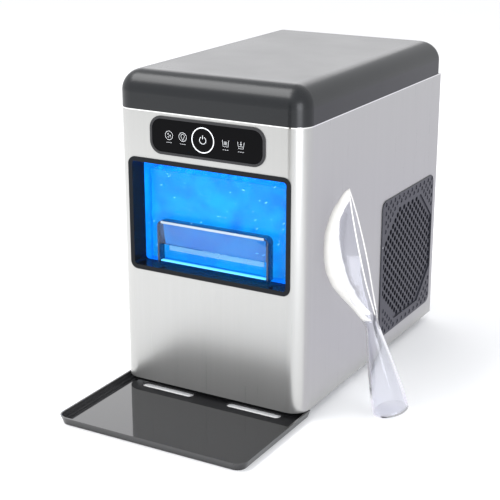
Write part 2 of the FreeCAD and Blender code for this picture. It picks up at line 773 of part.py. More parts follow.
FLOAT_SPOT = ("62", "-70")
PUMP_SPOT = ("column_x", "-62")


def float_stem():
    """Reed switch stem with a foot and a stop."""
    floor = "tank_low + tank_wall"
    keep("float_stem", join("FloatStem",
                            rod("StemRod", "3", "z", FLOAT_SPOT, floor, "130"),
                            rod("StemFoot", "9", "z", FLOAT_SPOT, floor, f"{floor} + 3"),
                            rod("StemStop", "5", "z", FLOAT_SPOT, "124", "127")))


def water_float():
    floor = "tank_low + tank_wall"
    keep("water_float", without("WaterFloat",
                                rod("FloatBody", "13", "z", FLOAT_SPOT, f"{floor} + 4", f"{floor} + 26"),
                                rod("FloatBore", "3.4", "z", FLOAT_SPOT, f"{floor} + 3", f"{floor} + 27")))


def water_pump():
    floor = "tank_low + tank_wall"
    case = rod("PumpCase", "17", "z", PUMP_SPOT, floor, f"{floor} + 36")
    keep("water_pump", join("WaterPump", case,
                            rod("PumpBase", "20", "z", PUMP_SPOT, floor, f"{floor} + 8"),
                            rod("PumpOutlet", "3", "z", PUMP_SPOT, f"{floor} + 36", f"{floor} + 46")))


def feed_hose():
    """From the pump, under the ice compartment and up to the foot of the barrel."""
    x, y = size("column_x"), -62
    inlet_y = size("column_y - barrel_radius")
    base = size("tank_low + tank_wall + 46")
    keep("feed_hose", tube("FeedHose", [(x, y, base), (x, y, 148), (x, 4, 148), (x, 4, 225), (x, inlet_y, 225)],
                           "hose_radius"))


def drain_hose():
    keep("drain_hose", tube("DrainHose", [(-84, size("-tank_rear") + 0.1, 40), (-84, 0, 40), (-112, 28, 34),
                                          (-112, 196, 34)], "hose_radius", 12))


def drain_spout():
    """Threaded spout through the back for emptying the tank."""
    flange = rod("SpoutFlange", "9", "y", ("-112", "34"), f"{REAR} - 0.2", f"{REAR} + 1.6")
    neck = rod("SpoutNeck", "6", "y", ("-112", "34"), "196", f"{REAR} + 10")
    keep("drain_spout", join("DrainSpout", flange, neck))


def drain_cap():
    """Cap that pulls or screws off the spout."""
    case = rod("CapCase", "9", "y", ("-112", "34"), f"{REAR} + 2", f"{REAR} + 16")
    keep("drain_cap", without("DrainCap", case,
                              rod("CapBore", "6.2", "y", ("-112", "34"), f"{REAR} + 1", f"{REAR} + 10.4")))


# ================================================================ ice making column

COLUMN = ("column_x", "column_y")


def evaporator_barrel():
    inlet = rod("BarrelInlet", "hose_radius", "y", ("column_x", "225"),
                "column_y - barrel_radius - 3", "column_y")
    wall = join("BarrelWall", rod("BarrelTube", "barrel_radius", "z", COLUMN, "barrel_low", "barrel_high"),
                rod("BarrelFlange", "barrel_radius + 6", "z", COLUMN, "barrel_low", "barrel_low + 4"))
    keep("evaporator_barrel", without("EvaporatorBarrel", wall, rod(
        "BarrelBore", "bore_radius", "z", COLUMN, "barrel_low - 1", "barrel_high + 1"), inlet))


def evaporator_coil():
    """Refrigerant coil wound on the barrel, one ring for each turn."""
    turns = [ring(f"Turn{i}", "barrel_radius + tube_radius + 0.1", "tube_radius", "z", COLUMN, f"238 + {i} * 7.6")
             for i in range(10)]
    keep("evaporator_coil", group("EvaporatorCoil", *turns))


def evaporator_foam():
    shell = rod("FoamShell", "barrel_radius + 20", "z", COLUMN, "232", "314")
    keep("evaporator_foam", without("EvaporatorFoam", shell, rod(
        "FoamBore", "barrel_radius + 2 * tube_radius + 0.6", "z", COLUMN, "231", "315")))


def extruder_head():
    """Head that presses the ice into nuggets and lets them out to the front."""
    case = rod("HeadCase", "barrel_radius + 3", "z", COLUMN, "barrel_high", "barrel_high + 26")
    cavity = rod("HeadCavity", "bore_radius", "z", COLUMN, "barrel_high - 1", "barrel_high + 22")
    mouth = block("HeadMouth", ("column_x - 12", "column_x + 12"),
                  ("column_y - 40", "column_y"), ("barrel_high + 6", "barrel_high + 20"))
    keep("extruder_head", without("ExtruderHead", case, cavity, mouth, rod(
        "HeadBore", "10.1", "z", COLUMN, "barrel_high + 20", "barrel_high + 27")))


def bearing(name, low, high):
    keep(name, without(name.title().replace("_", ""), rod(name + "Outer", "10", "z", COLUMN, low, high), rod(
        name + "Bore", "shaft_radius + running_gap", "z", COLUMN, f"{low} - 1", f"{high} + 1")))


def auger():
    """Screw that scrapes the ice off the barrel and lifts it."""
    low, high = size("barrel_low + 6"), size("barrel_high + 2")
    core, tip = size("core_radius"), size("flight_radius")
    root = core - 0.4
    helix = Part.makeHelix(size("flight_pitch"), high - low - 4, root)
    section = Part.makePolygon([Vector(root, 0, -1.2), Vector(tip, 0, -0.7), Vector(tip, 0, 0.7),
                                Vector(root, 0, 1.2), Vector(root, 0, -1.2)])
    flight = Part.Wire(helix.Edges).makePipeShell([section], True, True)
    flight.translate(Vector(0, 0, low + 2))
    shaft_low = size("gear_low - 3")
    shaft = Part.makeCylinder(size("shaft_radius"), size("barrel_high + 30") - shaft_low,
                              Vector(0, 0, shaft_low))
    item = doc.addObject("Part::Feature", "Auger")
    item.Shape = Part.makeCylinder(core, high - low, Vector(0, 0, low)).fuse(flight).fuse(shaft)
    item.Placement = Placement(Vector(size("column_x"), size("column_y"), 0), Rotation())
    keep("auger", item)


def ice_chute():
    """Sloping trough from the head to the hole above the bin."""
    owner = body("ice_chute")
    top, foot = "barrel_high + 24", "liner_high + 1"
    rear = "column_y - barrel_radius - 4"
    solid(owner, "x", "column_x - 26", "column_x + 26", corner_outline(
        [(rear, "barrel_high + 2"), (rear, top), ("-30", "liner_high + 34"), ("-62", "liner_high + 18"),
         ("-62", foot), ("-28", foot)]))
    hollow(owner, "x", "column_x - 24", "column_x + 24", corner_outline(
        [(f"{rear} + 2", "barrel_high + 4"), (f"{rear} + 2", f"{top} - 2"), ("-30", "liner_high + 31.6"),
         ("-60", "liner_high + 16.6"), ("-60", f"{foot} - 2"), ("-29", f"{foot} - 2")]))


# ================================================================ gearbox

def gear_outline(teeth, bore, name):
    """Spur gear blank with straight-flanked teeth, centred on zero."""
    module = size("gear_module")
    pitch_radius = module * teeth / 2
    tip, root = pitch_radius + 0.9 * module, pitch_radius - 1.2 * module
    step = 2 * math.pi / teeth
    widths = ((root, 0.33), (pitch_radius, 0.235), (tip, 0.12))
    points = []
    for i in range(teeth):
        middle = i * step
        for radius, part in widths:
            angle = middle - part * step
            points.append(Vector(radius * math.cos(angle), radius * math.sin(angle), 0))
        for radius, part in reversed(widths):
            angle = middle + part * step
            points.append(Vector(radius * math.cos(angle), radius * math.sin(angle), 0))
    wheel = Part.Face(Part.makePolygon(points + points[:1])).extrude(Vector(0, 0, size("gear_width")))
    hole = Part.makeCylinder(bore, size("gear_width"))
    item = doc.addObject("Part::Feature", name)
    item.Shape = wheel.cut(hole)
    return item


CENTRES = "gear_module * (gear_teeth + pinion_teeth) / 2 + gear_backlash / 2"


def auger_gear():
    item = gear_outline(int(size("gear_teeth")), size("shaft_radius"), "AugerGear")
    item.Placement = Placement(Vector(size("column_x"), size("column_y"), size("gear_low")), Rotation())
    keep("auger_gear", item)


def motor_pinion():
    """Pinion and motor shaft; a tooth gap faces the big gear."""
    teeth = int(size("pinion_teeth"))
    spot = (f"column_x + {CENTRES}", "column_y")
    wheel = gear_outline(teeth, size("shaft_radius") - 0.5, "PinionWheel")
    facing = 0 if teeth % 2 else 180.0 / teeth
    wheel.Placement = Placement(Vector(size(spot[0]), size("column_y"), size("gear_low")),
                                Rotation(Vector(0, 0, 1), facing))
    shaft = rod("PinionShaft", "shaft_radius - 0.5", "z", spot, "gear_low - 7", "gear_low + gear_width + 2")
    keep("motor_pinion", join("MotorPinion", wheel, shaft))


def gearbox_case():
    """Two-part gearbox drawn as one hollow case round the gears."""
    owner = body("gearbox_case")
    low, high = "gear_low - 6", "barrel_low - 0.01"
    left, right = "column_x - 31", f"column_x + {CENTRES} + 16"
    solid(owner, "z", low, high, round_outline((left, right), ("column_y - 31", "column_y + 31"), "12"))
    hollow(owner, "z", f"{low} + 3", "gear_low + gear_width + 3", round_outline(
        (f"{left} + 3", f"{right} - 3"), ("column_y - 28", "column_y + 28"), "9"))
    hollow(owner, "z", "gear_low + gear_width + 2", f"{high} + 1", disc_outline(COLUMN, "10.05"))
    hollow(owner, "z", f"{low} - 1", f"{low} + 4", disc_outline((f"column_x + {CENTRES}", "column_y"), "6"))


def gear_motor():
    spot = (f"column_x + {CENTRES}", "column_y")
    can = softened("MotorCan", rod("MotorBarrel", "26", "z", spot, "112", "gear_low - 9"), "3",
                   lambda e: e.BoundBox.ZLength < 0.01 and e.BoundBox.ZMin < 120)
    neck = rod("MotorNeck", "12", "z", spot, "gear_low - 10", "gear_low - 6.01")
    keep("gear_motor", without("GearMotor", join("MotorCase", can, neck), rod(
        "MotorBore", "shaft_radius - 0.5 + running_gap", "z", spot, "gear_low - 8", "gear_low")))


# ================================================================ refrigeration

COMPRESSOR = ("comp_x", "comp_y")


def compressor():
    """Hermetic shell, its seam ring, the terminal cover, the plate and the rubber mounts."""
    shell = softened("ShellRound", rod("ShellCan", "comp_radius", "z", COMPRESSOR, "comp_low", "comp_high"),
                     "18", lambda e: e.BoundBox.ZLength < 0.01)
    band = rod("ShellSeam", "comp_radius + 2.5", "z", COMPRESSOR, "comp_low + 78", "comp_low + 83")
    keep("compressor_shell", join("CompressorShell", shell, band))
    keep("terminal_cover", softened("TerminalCover", block(
        "TerminalBox", ("comp_x + comp_radius + 0.5", "comp_x + comp_radius + 19"),
        ("comp_y - 18", "comp_y + 18"), ("comp_low + 30", "comp_low + 70")), "4",
        lambda e: e.BoundBox.XLength > 1))
    owner = body("compressor_plate")
    solid(owner, "z", "base_height + 2.5", "base_height + 5.5", round_outline(
        ("comp_x - 58", "comp_x + 58"), ("comp_y - 52", "comp_y + 54"), "10"))
    spots = [(sx, sy) for sx in (-1, 1) for sy in (-1, 1)]
    mounts = [rod(f"Grommet{i}", "9", "z", (f"comp_x + {38 * sx}", f"comp_y + {32 * sy}"),
                  "base_height + 5.5", "comp_low + 2") for i, (sx, sy) in enumerate(spots)]
    bolster = [rod(f"Bolster{i}", "5", "z", (f"comp_x + {20 * sx}", f"comp_y + {20 * sy}"),
                   "base_height + 5.5", "comp_low") for i, (sx, sy) in enumerate(spots)]
    trimmed = without("GrommetsCut", group("GrommetsRaw", *mounts), shell)
    keep("compressor_mounts", group("CompressorMounts", trimmed, *bolster))


def condenser():
    """Finned block with end plates and a serpentine tube, behind the side grille."""
    low, high = 40, 210
    fins = [block(f"Fin{i}", ("100", "122"), (f"{38 + i * 5.6}", f"{38.5 + i * 5.6}"), (f"{low}", f"{high}"))
            for i in range(26)]
    keep("condenser_fins", group("CondenserFins", *fins))
    plates = [block(f"EndPlate{i}", ("98", "124"), (f"{y}", f"{y + 1.2}"), (f"{low - 4}", f"{high + 4}"))
              for i, y in enumerate((33, 182.6))]
    keep("condenser_plates", group("CondenserPlates", *plates))
    levels = [low + 12 + 24.5 * i for i in range(7)]
    points = []
    for i, z in enumerate(levels):
        ends = (27, 190) if i % 2 == 0 else (190, 27)
        points += [(111, ends[0], z), (111, ends[1], z)]
    keep("condenser_coil", tube("CondenserCoil", points, "tube_radius", 10))


def fan():
    """Shroud, blades, motor and the bracket that holds it."""
    spot = ("fan_y", "fan_z")
    owner = body("fan_shroud")
    solid(owner, "x", "84", "96", box_outline(("fan_y - 76", "fan_y + 76"), ("fan_z - 84", "fan_z + 84")))
    hollow(owner, "x", "87", "97", box_outline(("fan_y - 73", "fan_y + 73"), ("fan_z - 81", "fan_z + 81")))
    hollow(owner, "x", "83", "88", disc_outline(spot, "fan_radius + 3"))
    hub = rod("FanHub", "17", "x", spot, "72", "90")
    blades = []
    for i in range(7):
        blade = doc.addObject("Part::Box", f"Blade{i}")
        blade.Length, blade.Width = 1.8, 34
        bind(blade, "Height", "fan_radius")
        spin = Rotation(Vector(1, 0, 0), 360.0 * i / 7)
        pitch = Rotation(Vector(0, 0, 1), 52)
        centre = Vector(81, size("fan_y"), size("fan_z"))
        offset = spin.multVec(pitch.multVec(Vector(-0.9, -17, 0)))
        blade.Placement = Placement(centre + offset, spin.multiply(pitch))
        blades.append(blade)
    envelope = rod("FanEnvelope", "fan_radius", "x", spot, "68", "94")
    wheel = shared("FanWheel", join("FanBladesRaw", hub, *blades), envelope)
    keep("fan_blades", without("FanBlades", wheel, rod("FanBore", "2.5", "x", spot, "60", "84")))
    motor = softened("FanMotorCan", rod("FanMotorRaw", "21", "x", spot, "40", "62"), "3",
                     lambda e: e.BoundBox.XLength < 0.01)
    keep("fan_motor", join("FanMotor", motor, rod("FanShaft", "2.45", "x", spot, "61", "83")))
    arms = [block("ArmUp", ("36", "39.9"), ("fan_y - 8", "fan_y + 8"), ("fan_z - 92", "fan_z + 92")),
            block("ArmTop", ("36", "96"), ("fan_y - 8", "fan_y + 8"), ("fan_z + 88", "fan_z + 92")),
            block("ArmFoot", ("36", "96"), ("fan_y - 8", "fan_y + 8"), ("fan_z - 92", "fan_z - 88"))]
    keep("fan_bracket", join("FanBracket", *arms))


def refrigerant_lines():
    """Filter drier and the copper lines between compressor, condenser and evaporator."""
    keep("filter_drier", softened("FilterDrier", rod("DrierCan", "9", "z", ("20", "24"), "60", "130"), "6",
                                  lambda e: e.BoundBox.ZLength < 0.01))
    cx, cy = size("comp_x"), size("comp_y")
    crown = size("comp_high")
    keep("discharge_line", tube("DischargeLine", [(cx + 12, cy + 20, crown + 0.1), (cx + 12, cy + 20, 199),
                                                  (cx + 12, 198, 199), (111, 198, 199), (111, 190.1, 199)],
                                "tube_radius", 7))
    lagging = size("column_y + barrel_radius") + 20.1
    keep("suction_line", tube("SuctionLine", [(cx - 16, cy, crown + 0.1), (cx - 16, cy, 300),
                                              (size("column_x"), 112, 300), (size("column_x"), lagging, 300)],
                              "tube_radius", 8))
    liquid = tube("LiquidLine", [(111, 26.9, 52), (111, 12, 52), (20, 24, 46), (20, 24, 59.9)],
                  "tube_radius - 1", 8)
    capillary = tube("CapillaryLine", [(20, 24, 130.1), (20, 24, 150), (20, 84, 160), (20, 84, 236),
                                       (-20.7, 60, 240)], "1.4", 8)
    keep("liquid_lines", group("LiquidLines", liquid, capillary))


def power_board():
    """Main circuit board with its relay, transformer and heat sink, on a tray."""
    posts = [rod(f"Post{i}", "3", "z", (f"{x}", f"{y}"), "264", "270")
             for i, (x, y) in enumerate([(29, 48), (109, 19), (50, 101), (109, 54)])]
    keep("board_tray", join("BoardTray", block("TrayPlate", ("20", "118"), ("10", "110"), ("262", "264")),
                            block("TrayFoot", ("20", "118"), ("-12.8", "10"), ("262", "264")), *posts))
    keep("power_board", join("PowerBoard", block("BoardPlate", ("24", "114"), ("14", "106"), ("270", "271.6")),
                             block("Relay", ("30", "58"), ("20", "40"), ("271.6", "288")),
                             block("Transformer", ("64", "104"), ("60", "98"), ("271.6", "300")),
                             block("HeatSink", ("30", "36"), ("56", "98"), ("271.6", "296"))))


def cord_gland():
    """Bush in the back where a supply lead would enter."""
    spot = ("100", "40")
    flange = rod("GlandFlange", "10", "y", spot, f"{REAR} - 0.2", f"{REAR} + 3")
    barrel = rod("GlandBarrel", "7", "y", spot, f"{REAR} - 12", f"{REAR}")
    keep("cord_gland", without("CordGland", join("GlandCase", flange, barrel), rod(
        "GlandBore", "3.5", "y", spot, f"{REAR} - 13", f"{REAR} + 4")))


def housing_screws():
    """Pan head screws round the back panel and at the front and rear of the grille."""
    spots = [(x, z) for x in (-118, 118) for z in (60, 150, 250, 352)] + [(0, 22), (0, 352)]
    heads = []
    for i, (x, z) in enumerate(spots):
        blank = rod(f"RearScrew{i}", "3.6", "y", (f"{x}", f"{z}"), f"{REAR} - 0.19", f"{REAR} + 1.8")
        heads.append(softened(f"RearHead{i}", blank, "1.2",
                              lambda e: e.BoundBox.YLength < 0.01 and e.BoundBox.YMin > size(REAR)))
    heads.append(rod("GrilleScrew", "1.3", "x", ("grille_front + 2.6", "mesh_z + 36"),
                     f"{HALF_W} + 1.41", f"{HALF_W} + 1.9"))
    keep("housing_screws", group("HousingScrews", *heads))


# ================================================================ loose pieces

def drip_tray():
    """Shallow tray with sloping walls whose rear slides under the machine."""
    owner = body("drip_tray")
    rim = (both("tray_half"), ("-tray_front", "-tray_rear"))
    solid(owner, "z", FLOOR, "tray_height", box_outline(*rim))
    round_edges(owner, "tray_corner", lambda e: upright_at(e, lambda x: True, lambda y: y < -300))
    base = owner.Tip
    sides = [f"Face{i}" for i, face in enumerate(base.Shape.Faces, 1)
             if abs(face.normalAt(0.5, 0.5).z) < 0.01 and face.BoundBox.YMin < size("-tray_rear") - 0.01]
    foot = next(f"Face{i}" for i, face in enumerate(base.Shape.Faces, 1)
                if face.BoundBox.ZMax < 0.01)
    flare = owner.newObject("PartDesign::Draft", "Flare")
    flare.Base = (base, sides)
    top = next(f"Face{i}" for i, face in enumerate(base.Shape.Faces, 1)
               if face.BoundBox.ZMin > size("tray_height") - 0.01)
    flare.NeutralPlane = (base, [top])
    bind(flare, "Angle", "atan(tray_flare / tray_height)")
    flare.Reversed = True
    doc.recompute()
    if owner.Shape.Volume > base.Shape.Volume or foot is None:
        flare.Reversed = False
        doc.recompute()
    hollow(owner, "z", "tray_wall", "tray_height + 1", round_outline(
        both("tray_half - tray_flare - tray_wall - 2.2"),
        ("-tray_front + tray_flare + tray_wall + 2.2", "-tray_rear - tray_wall"), "8"))
    hollow(owner, "z", "4.2", "tray_height + 1", round_outline(
        both("tray_half - tray_flare - 0.6"), ("-tray_front + tray_flare + 0.6", "-tray_rear - tray_wall"), "10"))
    hollow(owner, "z", "7.4", "tray_height + 1", round_outline(
        both("tray_half - 2.2"), ("-tray_front + 2.2", "-tray_rear + 3"), "12"))
    slots = [round_outline((f"{x} - 38", f"{x} + 38"), ("-209", "-196.5"), "6") for x in (-64, 62)]
    hollow(owner, "z", FLOOR - 1, "3", *slots)


def ice_scoop():
    """Clear scoop with a long bowl and a flared foot, leaning on the casing's side."""
    length, foot, wall = size("scoop_length"), size("scoop_foot"), 2.2
    grip_high, rim = 116, 8.3

    def turned_profile(points):
        """A solid of revolution from (height, radius) points on its own axis."""
        curve = Part.BSplineCurve()
        curve.interpolate([Vector(radius, 0, height) for height, radius in points])
        low, low_radius = points[0]
        high, high_radius = points[-1]
        edges = [curve.toShape()]
        if high_radius > 0:
            edges.append(Part.LineSegment(Vector(high_radius, 0, high), Vector(0, 0, high)).toShape())
        edges.append(Part.LineSegment(Vector(0, 0, high), Vector(0, 0, low)).toShape())
        if low_radius > 0:
            edges.append(Part.LineSegment(Vector(0, 0, low), Vector(low_radius, 0, low)).toShape())
        return Part.Face(Part.Wire(edges)).revolve(Vector(), Vector(0, 0, 1), 360)

    def leant(shape):
        """The bowl's axis leans so that its tip lies just under the plane of its rim."""
        lean = math.atan((rim - 1.3) / (length - grip_high))
        shape.rotate(Vector(0, 0, grip_high), Vector(0, 1, 0), math.degrees(lean))
        return shape

    handle = [(0, foot), (20, foot - 1.2), (52, 17.4), (84, 13), (108, 10.4), (grip_high, 10.2)]
    core = [(height, radius - wall) for height, radius in handle[:-1]]
    bowl = [(100, 4.6), (110, 6.2), (120, 9.2), (130, 13.8), (145, 22.4), (161, 32), (177, 40.4), (194, 44.1),
            (210, 44), (226, 41.5), (243, 36.9), (259, 29.2), (275, 17.2), (length, 0)]
    hollow_bowl = [(grip_high + 2, 6)] + [(height, radius - 2.5) for height, radius in bowl[4:-1]]
    hollow_bowl += [(length - 6, 0)]
    shell = leant(turned_profile(bowl).cut(turned_profile(hollow_bowl)))
    grip = turned_profile(handle).cut(turned_profile([(-1, foot - wall)] + core))
    mouth = Part.makeBox(100, 200, length, Vector(rim, -100, grip_high - 4))
    item = doc.addObject("Part::Feature", "IceScoop")
    item.Shape = shell.cut(mouth).fuse(grip.cut(leant(turned_profile(hollow_bowl))))
    heading = Vector(-0.190, -0.129, 0.979).normalize()
    opening = Vector(0.92, 0.39, 0)
    opening = (opening - heading * opening.dot(heading)).normalize()
    frame = FreeCAD.Matrix()
    for column, axis in enumerate((opening, heading.cross(opening), heading)):
        for line, part in enumerate(axis):
            setattr(frame, f"A{line + 1}{column + 1}", part)
    turn = Placement(frame).Rotation
    lift = foot * math.sin(heading.getAngle(Vector(0, 0, 1))) + 0.1
    item.Placement = Placement(Vector(size("scoop_reach"), -122, lift), turn)
    keep("ice_scoop", item)
    print("scoop", item.Shape.BoundBox, len(item.Shape.Solids), "solids")


# ================================================================ build

for build in (stainless_wrap, rear_panel, base_pan, top_cover, rubber_feet, bulkhead,
              window_frame, compartment_liner, led_strip, drawer_runners, bin_sensors,
              drawer_window, drawer_pull, ice_bin, control_bezel, control_glass, control_board,
              light_mask, side_grille, water_tank, float_stem, water_float,
              water_pump, feed_hose, drain_hose, drain_spout, drain_cap, evaporator_barrel,
              evaporator_coil, evaporator_foam, extruder_head, auger, ice_chute, auger_gear,
              motor_pinion, gearbox_case, gear_motor, compressor, condenser, fan,
              refrigerant_lines, power_board, cord_gland, housing_screws, drip_tray, ice_scoop):
    build()
bearing("lower_bearing", "gear_low + gear_width + 5", "barrel_low + 4")
bearing("upper_bearing", "barrel_high + 20.1", "barrel_high + 26")

doc.recompute()
failed = [item.Label for item in doc.Objects if {"Invalid", "Error"} & set(item.State)]
if failed:
    raise RuntimeError(f"objects that failed: {failed}")
for name, item in NODES.items():
    if item.Shape.isNull() or not item.Shape.isValid():
        raise RuntimeError(f"{name} has no valid shape")

os.makedirs("parts", exist_ok=True)
for name, item in NODES.items():
    item.Shape.exportStep(f"parts/{name}.step")
print(len(NODES), "pieces")
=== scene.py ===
import json
import math
import random

import bmesh
import bpy
from bpy.props import FloatProperty, FloatVectorProperty, IntProperty, PointerProperty
from mathutils import Matrix, Vector


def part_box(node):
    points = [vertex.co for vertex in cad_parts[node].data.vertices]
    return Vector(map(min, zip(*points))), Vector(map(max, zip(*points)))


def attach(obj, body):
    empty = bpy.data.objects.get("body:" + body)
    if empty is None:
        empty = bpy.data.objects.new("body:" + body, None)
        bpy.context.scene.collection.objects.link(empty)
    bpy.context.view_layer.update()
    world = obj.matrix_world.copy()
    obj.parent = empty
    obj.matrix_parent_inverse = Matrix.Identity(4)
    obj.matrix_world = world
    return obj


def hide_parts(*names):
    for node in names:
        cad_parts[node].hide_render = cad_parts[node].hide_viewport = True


bl_info = {
    "name": "Nugget Ice Maker",
    "version": (1, 0, 0),
    "blender": (4, 5, 0),
    "location": "3D View > Sidebar > Ice Maker",
    "description": "Finishes and moulded pieces of a countertop nugget ice maker",
    "category": "Object",
}

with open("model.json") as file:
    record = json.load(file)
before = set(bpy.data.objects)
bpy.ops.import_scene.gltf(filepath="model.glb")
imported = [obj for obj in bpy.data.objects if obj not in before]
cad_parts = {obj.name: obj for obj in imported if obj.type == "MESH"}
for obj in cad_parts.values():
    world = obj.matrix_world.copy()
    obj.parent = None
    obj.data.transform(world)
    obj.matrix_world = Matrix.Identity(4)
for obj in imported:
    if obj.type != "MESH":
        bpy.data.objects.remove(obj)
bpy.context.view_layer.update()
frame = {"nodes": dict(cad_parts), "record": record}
NODES = frame["nodes"]
MM = 0.001

# The scoop stands on its foot, leans along its heading and opens along its opening.
SCOOP_FOOT = Vector((210.5, -122.0, 5.1)) * MM
SCOOP_HEADING = Vector((-0.190, -0.129, 0.979)).normalized()
SCOOP_FACING = Vector((0.92, 0.39, 0.0))
SCOOP_OPENING = (SCOOP_FACING - SCOOP_HEADING * SCOOP_FACING.dot(SCOOP_HEADING)).normalized()
# Millimetres along the scoop, from the foot of its handle to the tip of its bowl.
SCOOP_NECK, SCOOP_TIP = 115.0, 290.0
# Millimetres from the scoop's middle line to the plane of its rim.
SCOOP_RIM = 8.3
# Radius of the handle at heights along it, and depth of the bowl under its rim.
GRIP = ((0, 22.5), (20, 21.3), (52, 17.4), (84, 13.0), (108, 9.3), (115, 8.6))
BELLY = (
    (115, 16.9), (128, 20.6), (145, 29.0), (161, 38.1), (177, 45.7), (194, 48.7), (210, 47.8), (226, 44.5),
    (243, 39.3), (259, 30.6), (268, 24.6), (275, 17.9), (282, 11.4), (287, 6.2), (290, 0.0),
)


# ---------------------------------------------------------------- shader building


class Wire:
    """An output socket of a finish. Python arithmetic on it adds Math nodes."""

    def __init__(self, finish, socket):
        self.finish = finish
        self.socket = socket

    def _math(self, operation, *values):
        return self.finish.node("ShaderNodeMath", {"operation": operation}, dict(enumerate(values)))

    def __add__(self, other):
        return self._math("ADD", self, other)

    def __radd__(self, other):
        return self._math("ADD", other, self)

    def __sub__(self, other):
        return self._math("SUBTRACT", self, other)

    def __rsub__(self, other):
        return self._math("SUBTRACT", other, self)

    def __mul__(self, other):
        return self._math("MULTIPLY", self, other)

    def __rmul__(self, other):
        return self._math("MULTIPLY", other, self)

    def __truediv__(self, other):
        return self._math("DIVIDE", self, other)

    def __rtruediv__(self, other):
        return self._math("DIVIDE", other, self)

    def __pow__(self, other):
        return self._math("POWER", self, other)

    def __rpow__(self, other):
        return self._math("POWER", other, self)

    def __abs__(self):
        return self._math("ABSOLUTE", self)

    def least(self, other):
        return self._math("MINIMUM", self, other)

    def most(self, other):
        return self._math("MAXIMUM", self, other)

    def ease(self, low, high):
        """0 below low, 1 above high and a smooth step between them."""
        return self.finish.node(
            "ShaderNodeMapRange",
            {"interpolation_type": "SMOOTHSTEP"},
            {"Value": self, "From Min": low, "From Max": high},
        )


class Finish:
    """One material, made from its Principled shader and the patterns that feed it."""

    def __init__(self, name, **constants):
        self.material = bpy.data.materials.new(name)
        self.material.use_nodes = True
        self.tree = self.material.node_tree
        self.shader = self.tree.nodes["Principled BSDF"]
        self.output = self.tree.nodes["Material Output"]
        for socket, value in constants.items():
            self.feed(self.shader.inputs[socket.replace("_", " ")], value)

    def feed(self, socket, value):
        """Links a wire to a socket, or sets the socket's own value."""
        if isinstance(value, Wire):
            self.tree.links.new(value.socket, socket)
        elif isinstance(value, tuple) and len(value) == 3 and len(socket.default_value) == 4:
            socket.default_value = (*value, 1.0)
        else:
            socket.default_value = value

    def node(self, kind, settings=None, inputs=None, out=0):
        """Adds a node: its type, its settings, and the values or wires of its sockets."""
        node = self.tree.nodes.new(kind)
        for key, value in (settings or {}).items():
            if key == "stops":
                ramp = node.color_ramp
                while len(ramp.elements) < len(value):
                    ramp.elements.new(0.5)
                for element, (position, colour) in zip(ramp.elements, value):
                    element.position = position
                    element.color = (*colour, 1.0)
            else:
                setattr(node, key, value)
        for key, value in (inputs or {}).items():
            self.feed(node.inputs[key], value)
        return Wire(self, node.outputs[out])

    def set(self, **sockets):
        for socket, value in sockets.items():
            self.feed(self.shader.inputs[socket.replace("_", " ")], value)
        return self

    def spot(self, stretch=(1.0, 1.0, 1.0), turn=(0.0, 0.0, 0.0)):
        """The place on the piece, stretched and turned."""
        place = self.node("ShaderNodeTexCoord", out="Object")
        return self.node("ShaderNodeMapping", {}, {"Vector": place, "Scale": stretch, "Rotation": turn})

    def axes(self):
        """The place on the piece as three wires, in metres."""
        split = self.tree.nodes.new("ShaderNodeSeparateXYZ")
        place = self.node("ShaderNodeTexCoord", out="Object")
        self.feed(split.inputs[0], place)
        return [Wire(self, output) for output in split.outputs]

    def noise(self, scale, detail=2.0, rough=0.5, stretch=(1.0, 1.0, 1.0), twist=0.0, turn=(0.0, 0.0, 0.0)):
        inputs = {
            "Vector": self.spot(stretch, turn),
            "Scale": scale,
            "Detail": detail,
            "Roughness": rough,
            "Distortion": twist,
        }
        return self.node("ShaderNodeTexNoise", {}, inputs)

    def cells(self, scale, feature="F1", stretch=(1.0, 1.0, 1.0), out="Distance", turn=(0.0, 0.0, 0.0)):
        inputs = {"Vector": self.spot(stretch, turn), "Scale": scale}
        return self.node("ShaderNodeTexVoronoi", {"feature": feature}, inputs, out)

    def ramp(self, value, *stops):
        return self.node("ShaderNodeValToRGB", {"stops": stops}, {"Fac": value}, "Color")

    def blend(self, factor, first, second):
        return self.node("ShaderNodeMix", {"data_type": "RGBA"}, {0: factor, 6: first, 7: second}, 2)

    def veil(self, mask, colour, roughness):
        """Lets an opaque plastic show where the mask is 1."""
        inputs = {"Base Color": colour, "Roughness": roughness, "Coat Weight": 0.5}
        cloudy = self.node("ShaderNodeBsdfPrincipled", {}, inputs, "BSDF")
        clear = Wire(self, self.shader.outputs["BSDF"])
        mixed = self.node("ShaderNodeMixShader", {}, {0: mask, 1: clear, 2: cloudy}, "Shader")
        self.feed(self.output.inputs["Surface"], mixed)
        return self

    def bump(self, height, depth, strength=1.0):
        inputs = {"Height": height, "Distance": depth, "Strength": strength}
        self.feed(self.shader.inputs["Normal"], self.node("ShaderNodeBump", {}, inputs, "Normal"))
        return self


def tinted(colour, factor):
    return tuple(min(1.0, channel * factor) for channel in colour)


# ---------------------------------------------------------------- finishes


def moulded(name, colour, roughness=0.4, grain=1500.0, depth=0.00002, drift=0.12, sheen=0.5):
    """Moulded plastic: fine texture from the tool, slow drift of tone and of gloss."""
    finish = Finish(name, IOR=1.5, Specular_IOR_Level=sheen)
    slow = finish.noise(9.0, 3.0)
    fine = finish.noise(grain, 1.0)
    finish.set(
        Base_Color=finish.blend(slow, tinted(colour, 1.0 - drift), tinted(colour, 1.0 + drift)),
        Roughness=roughness + (slow - 0.5) * 0.12 + (fine - 0.5) * 0.06,
    )
    return finish.bump(fine, depth, 0.6)


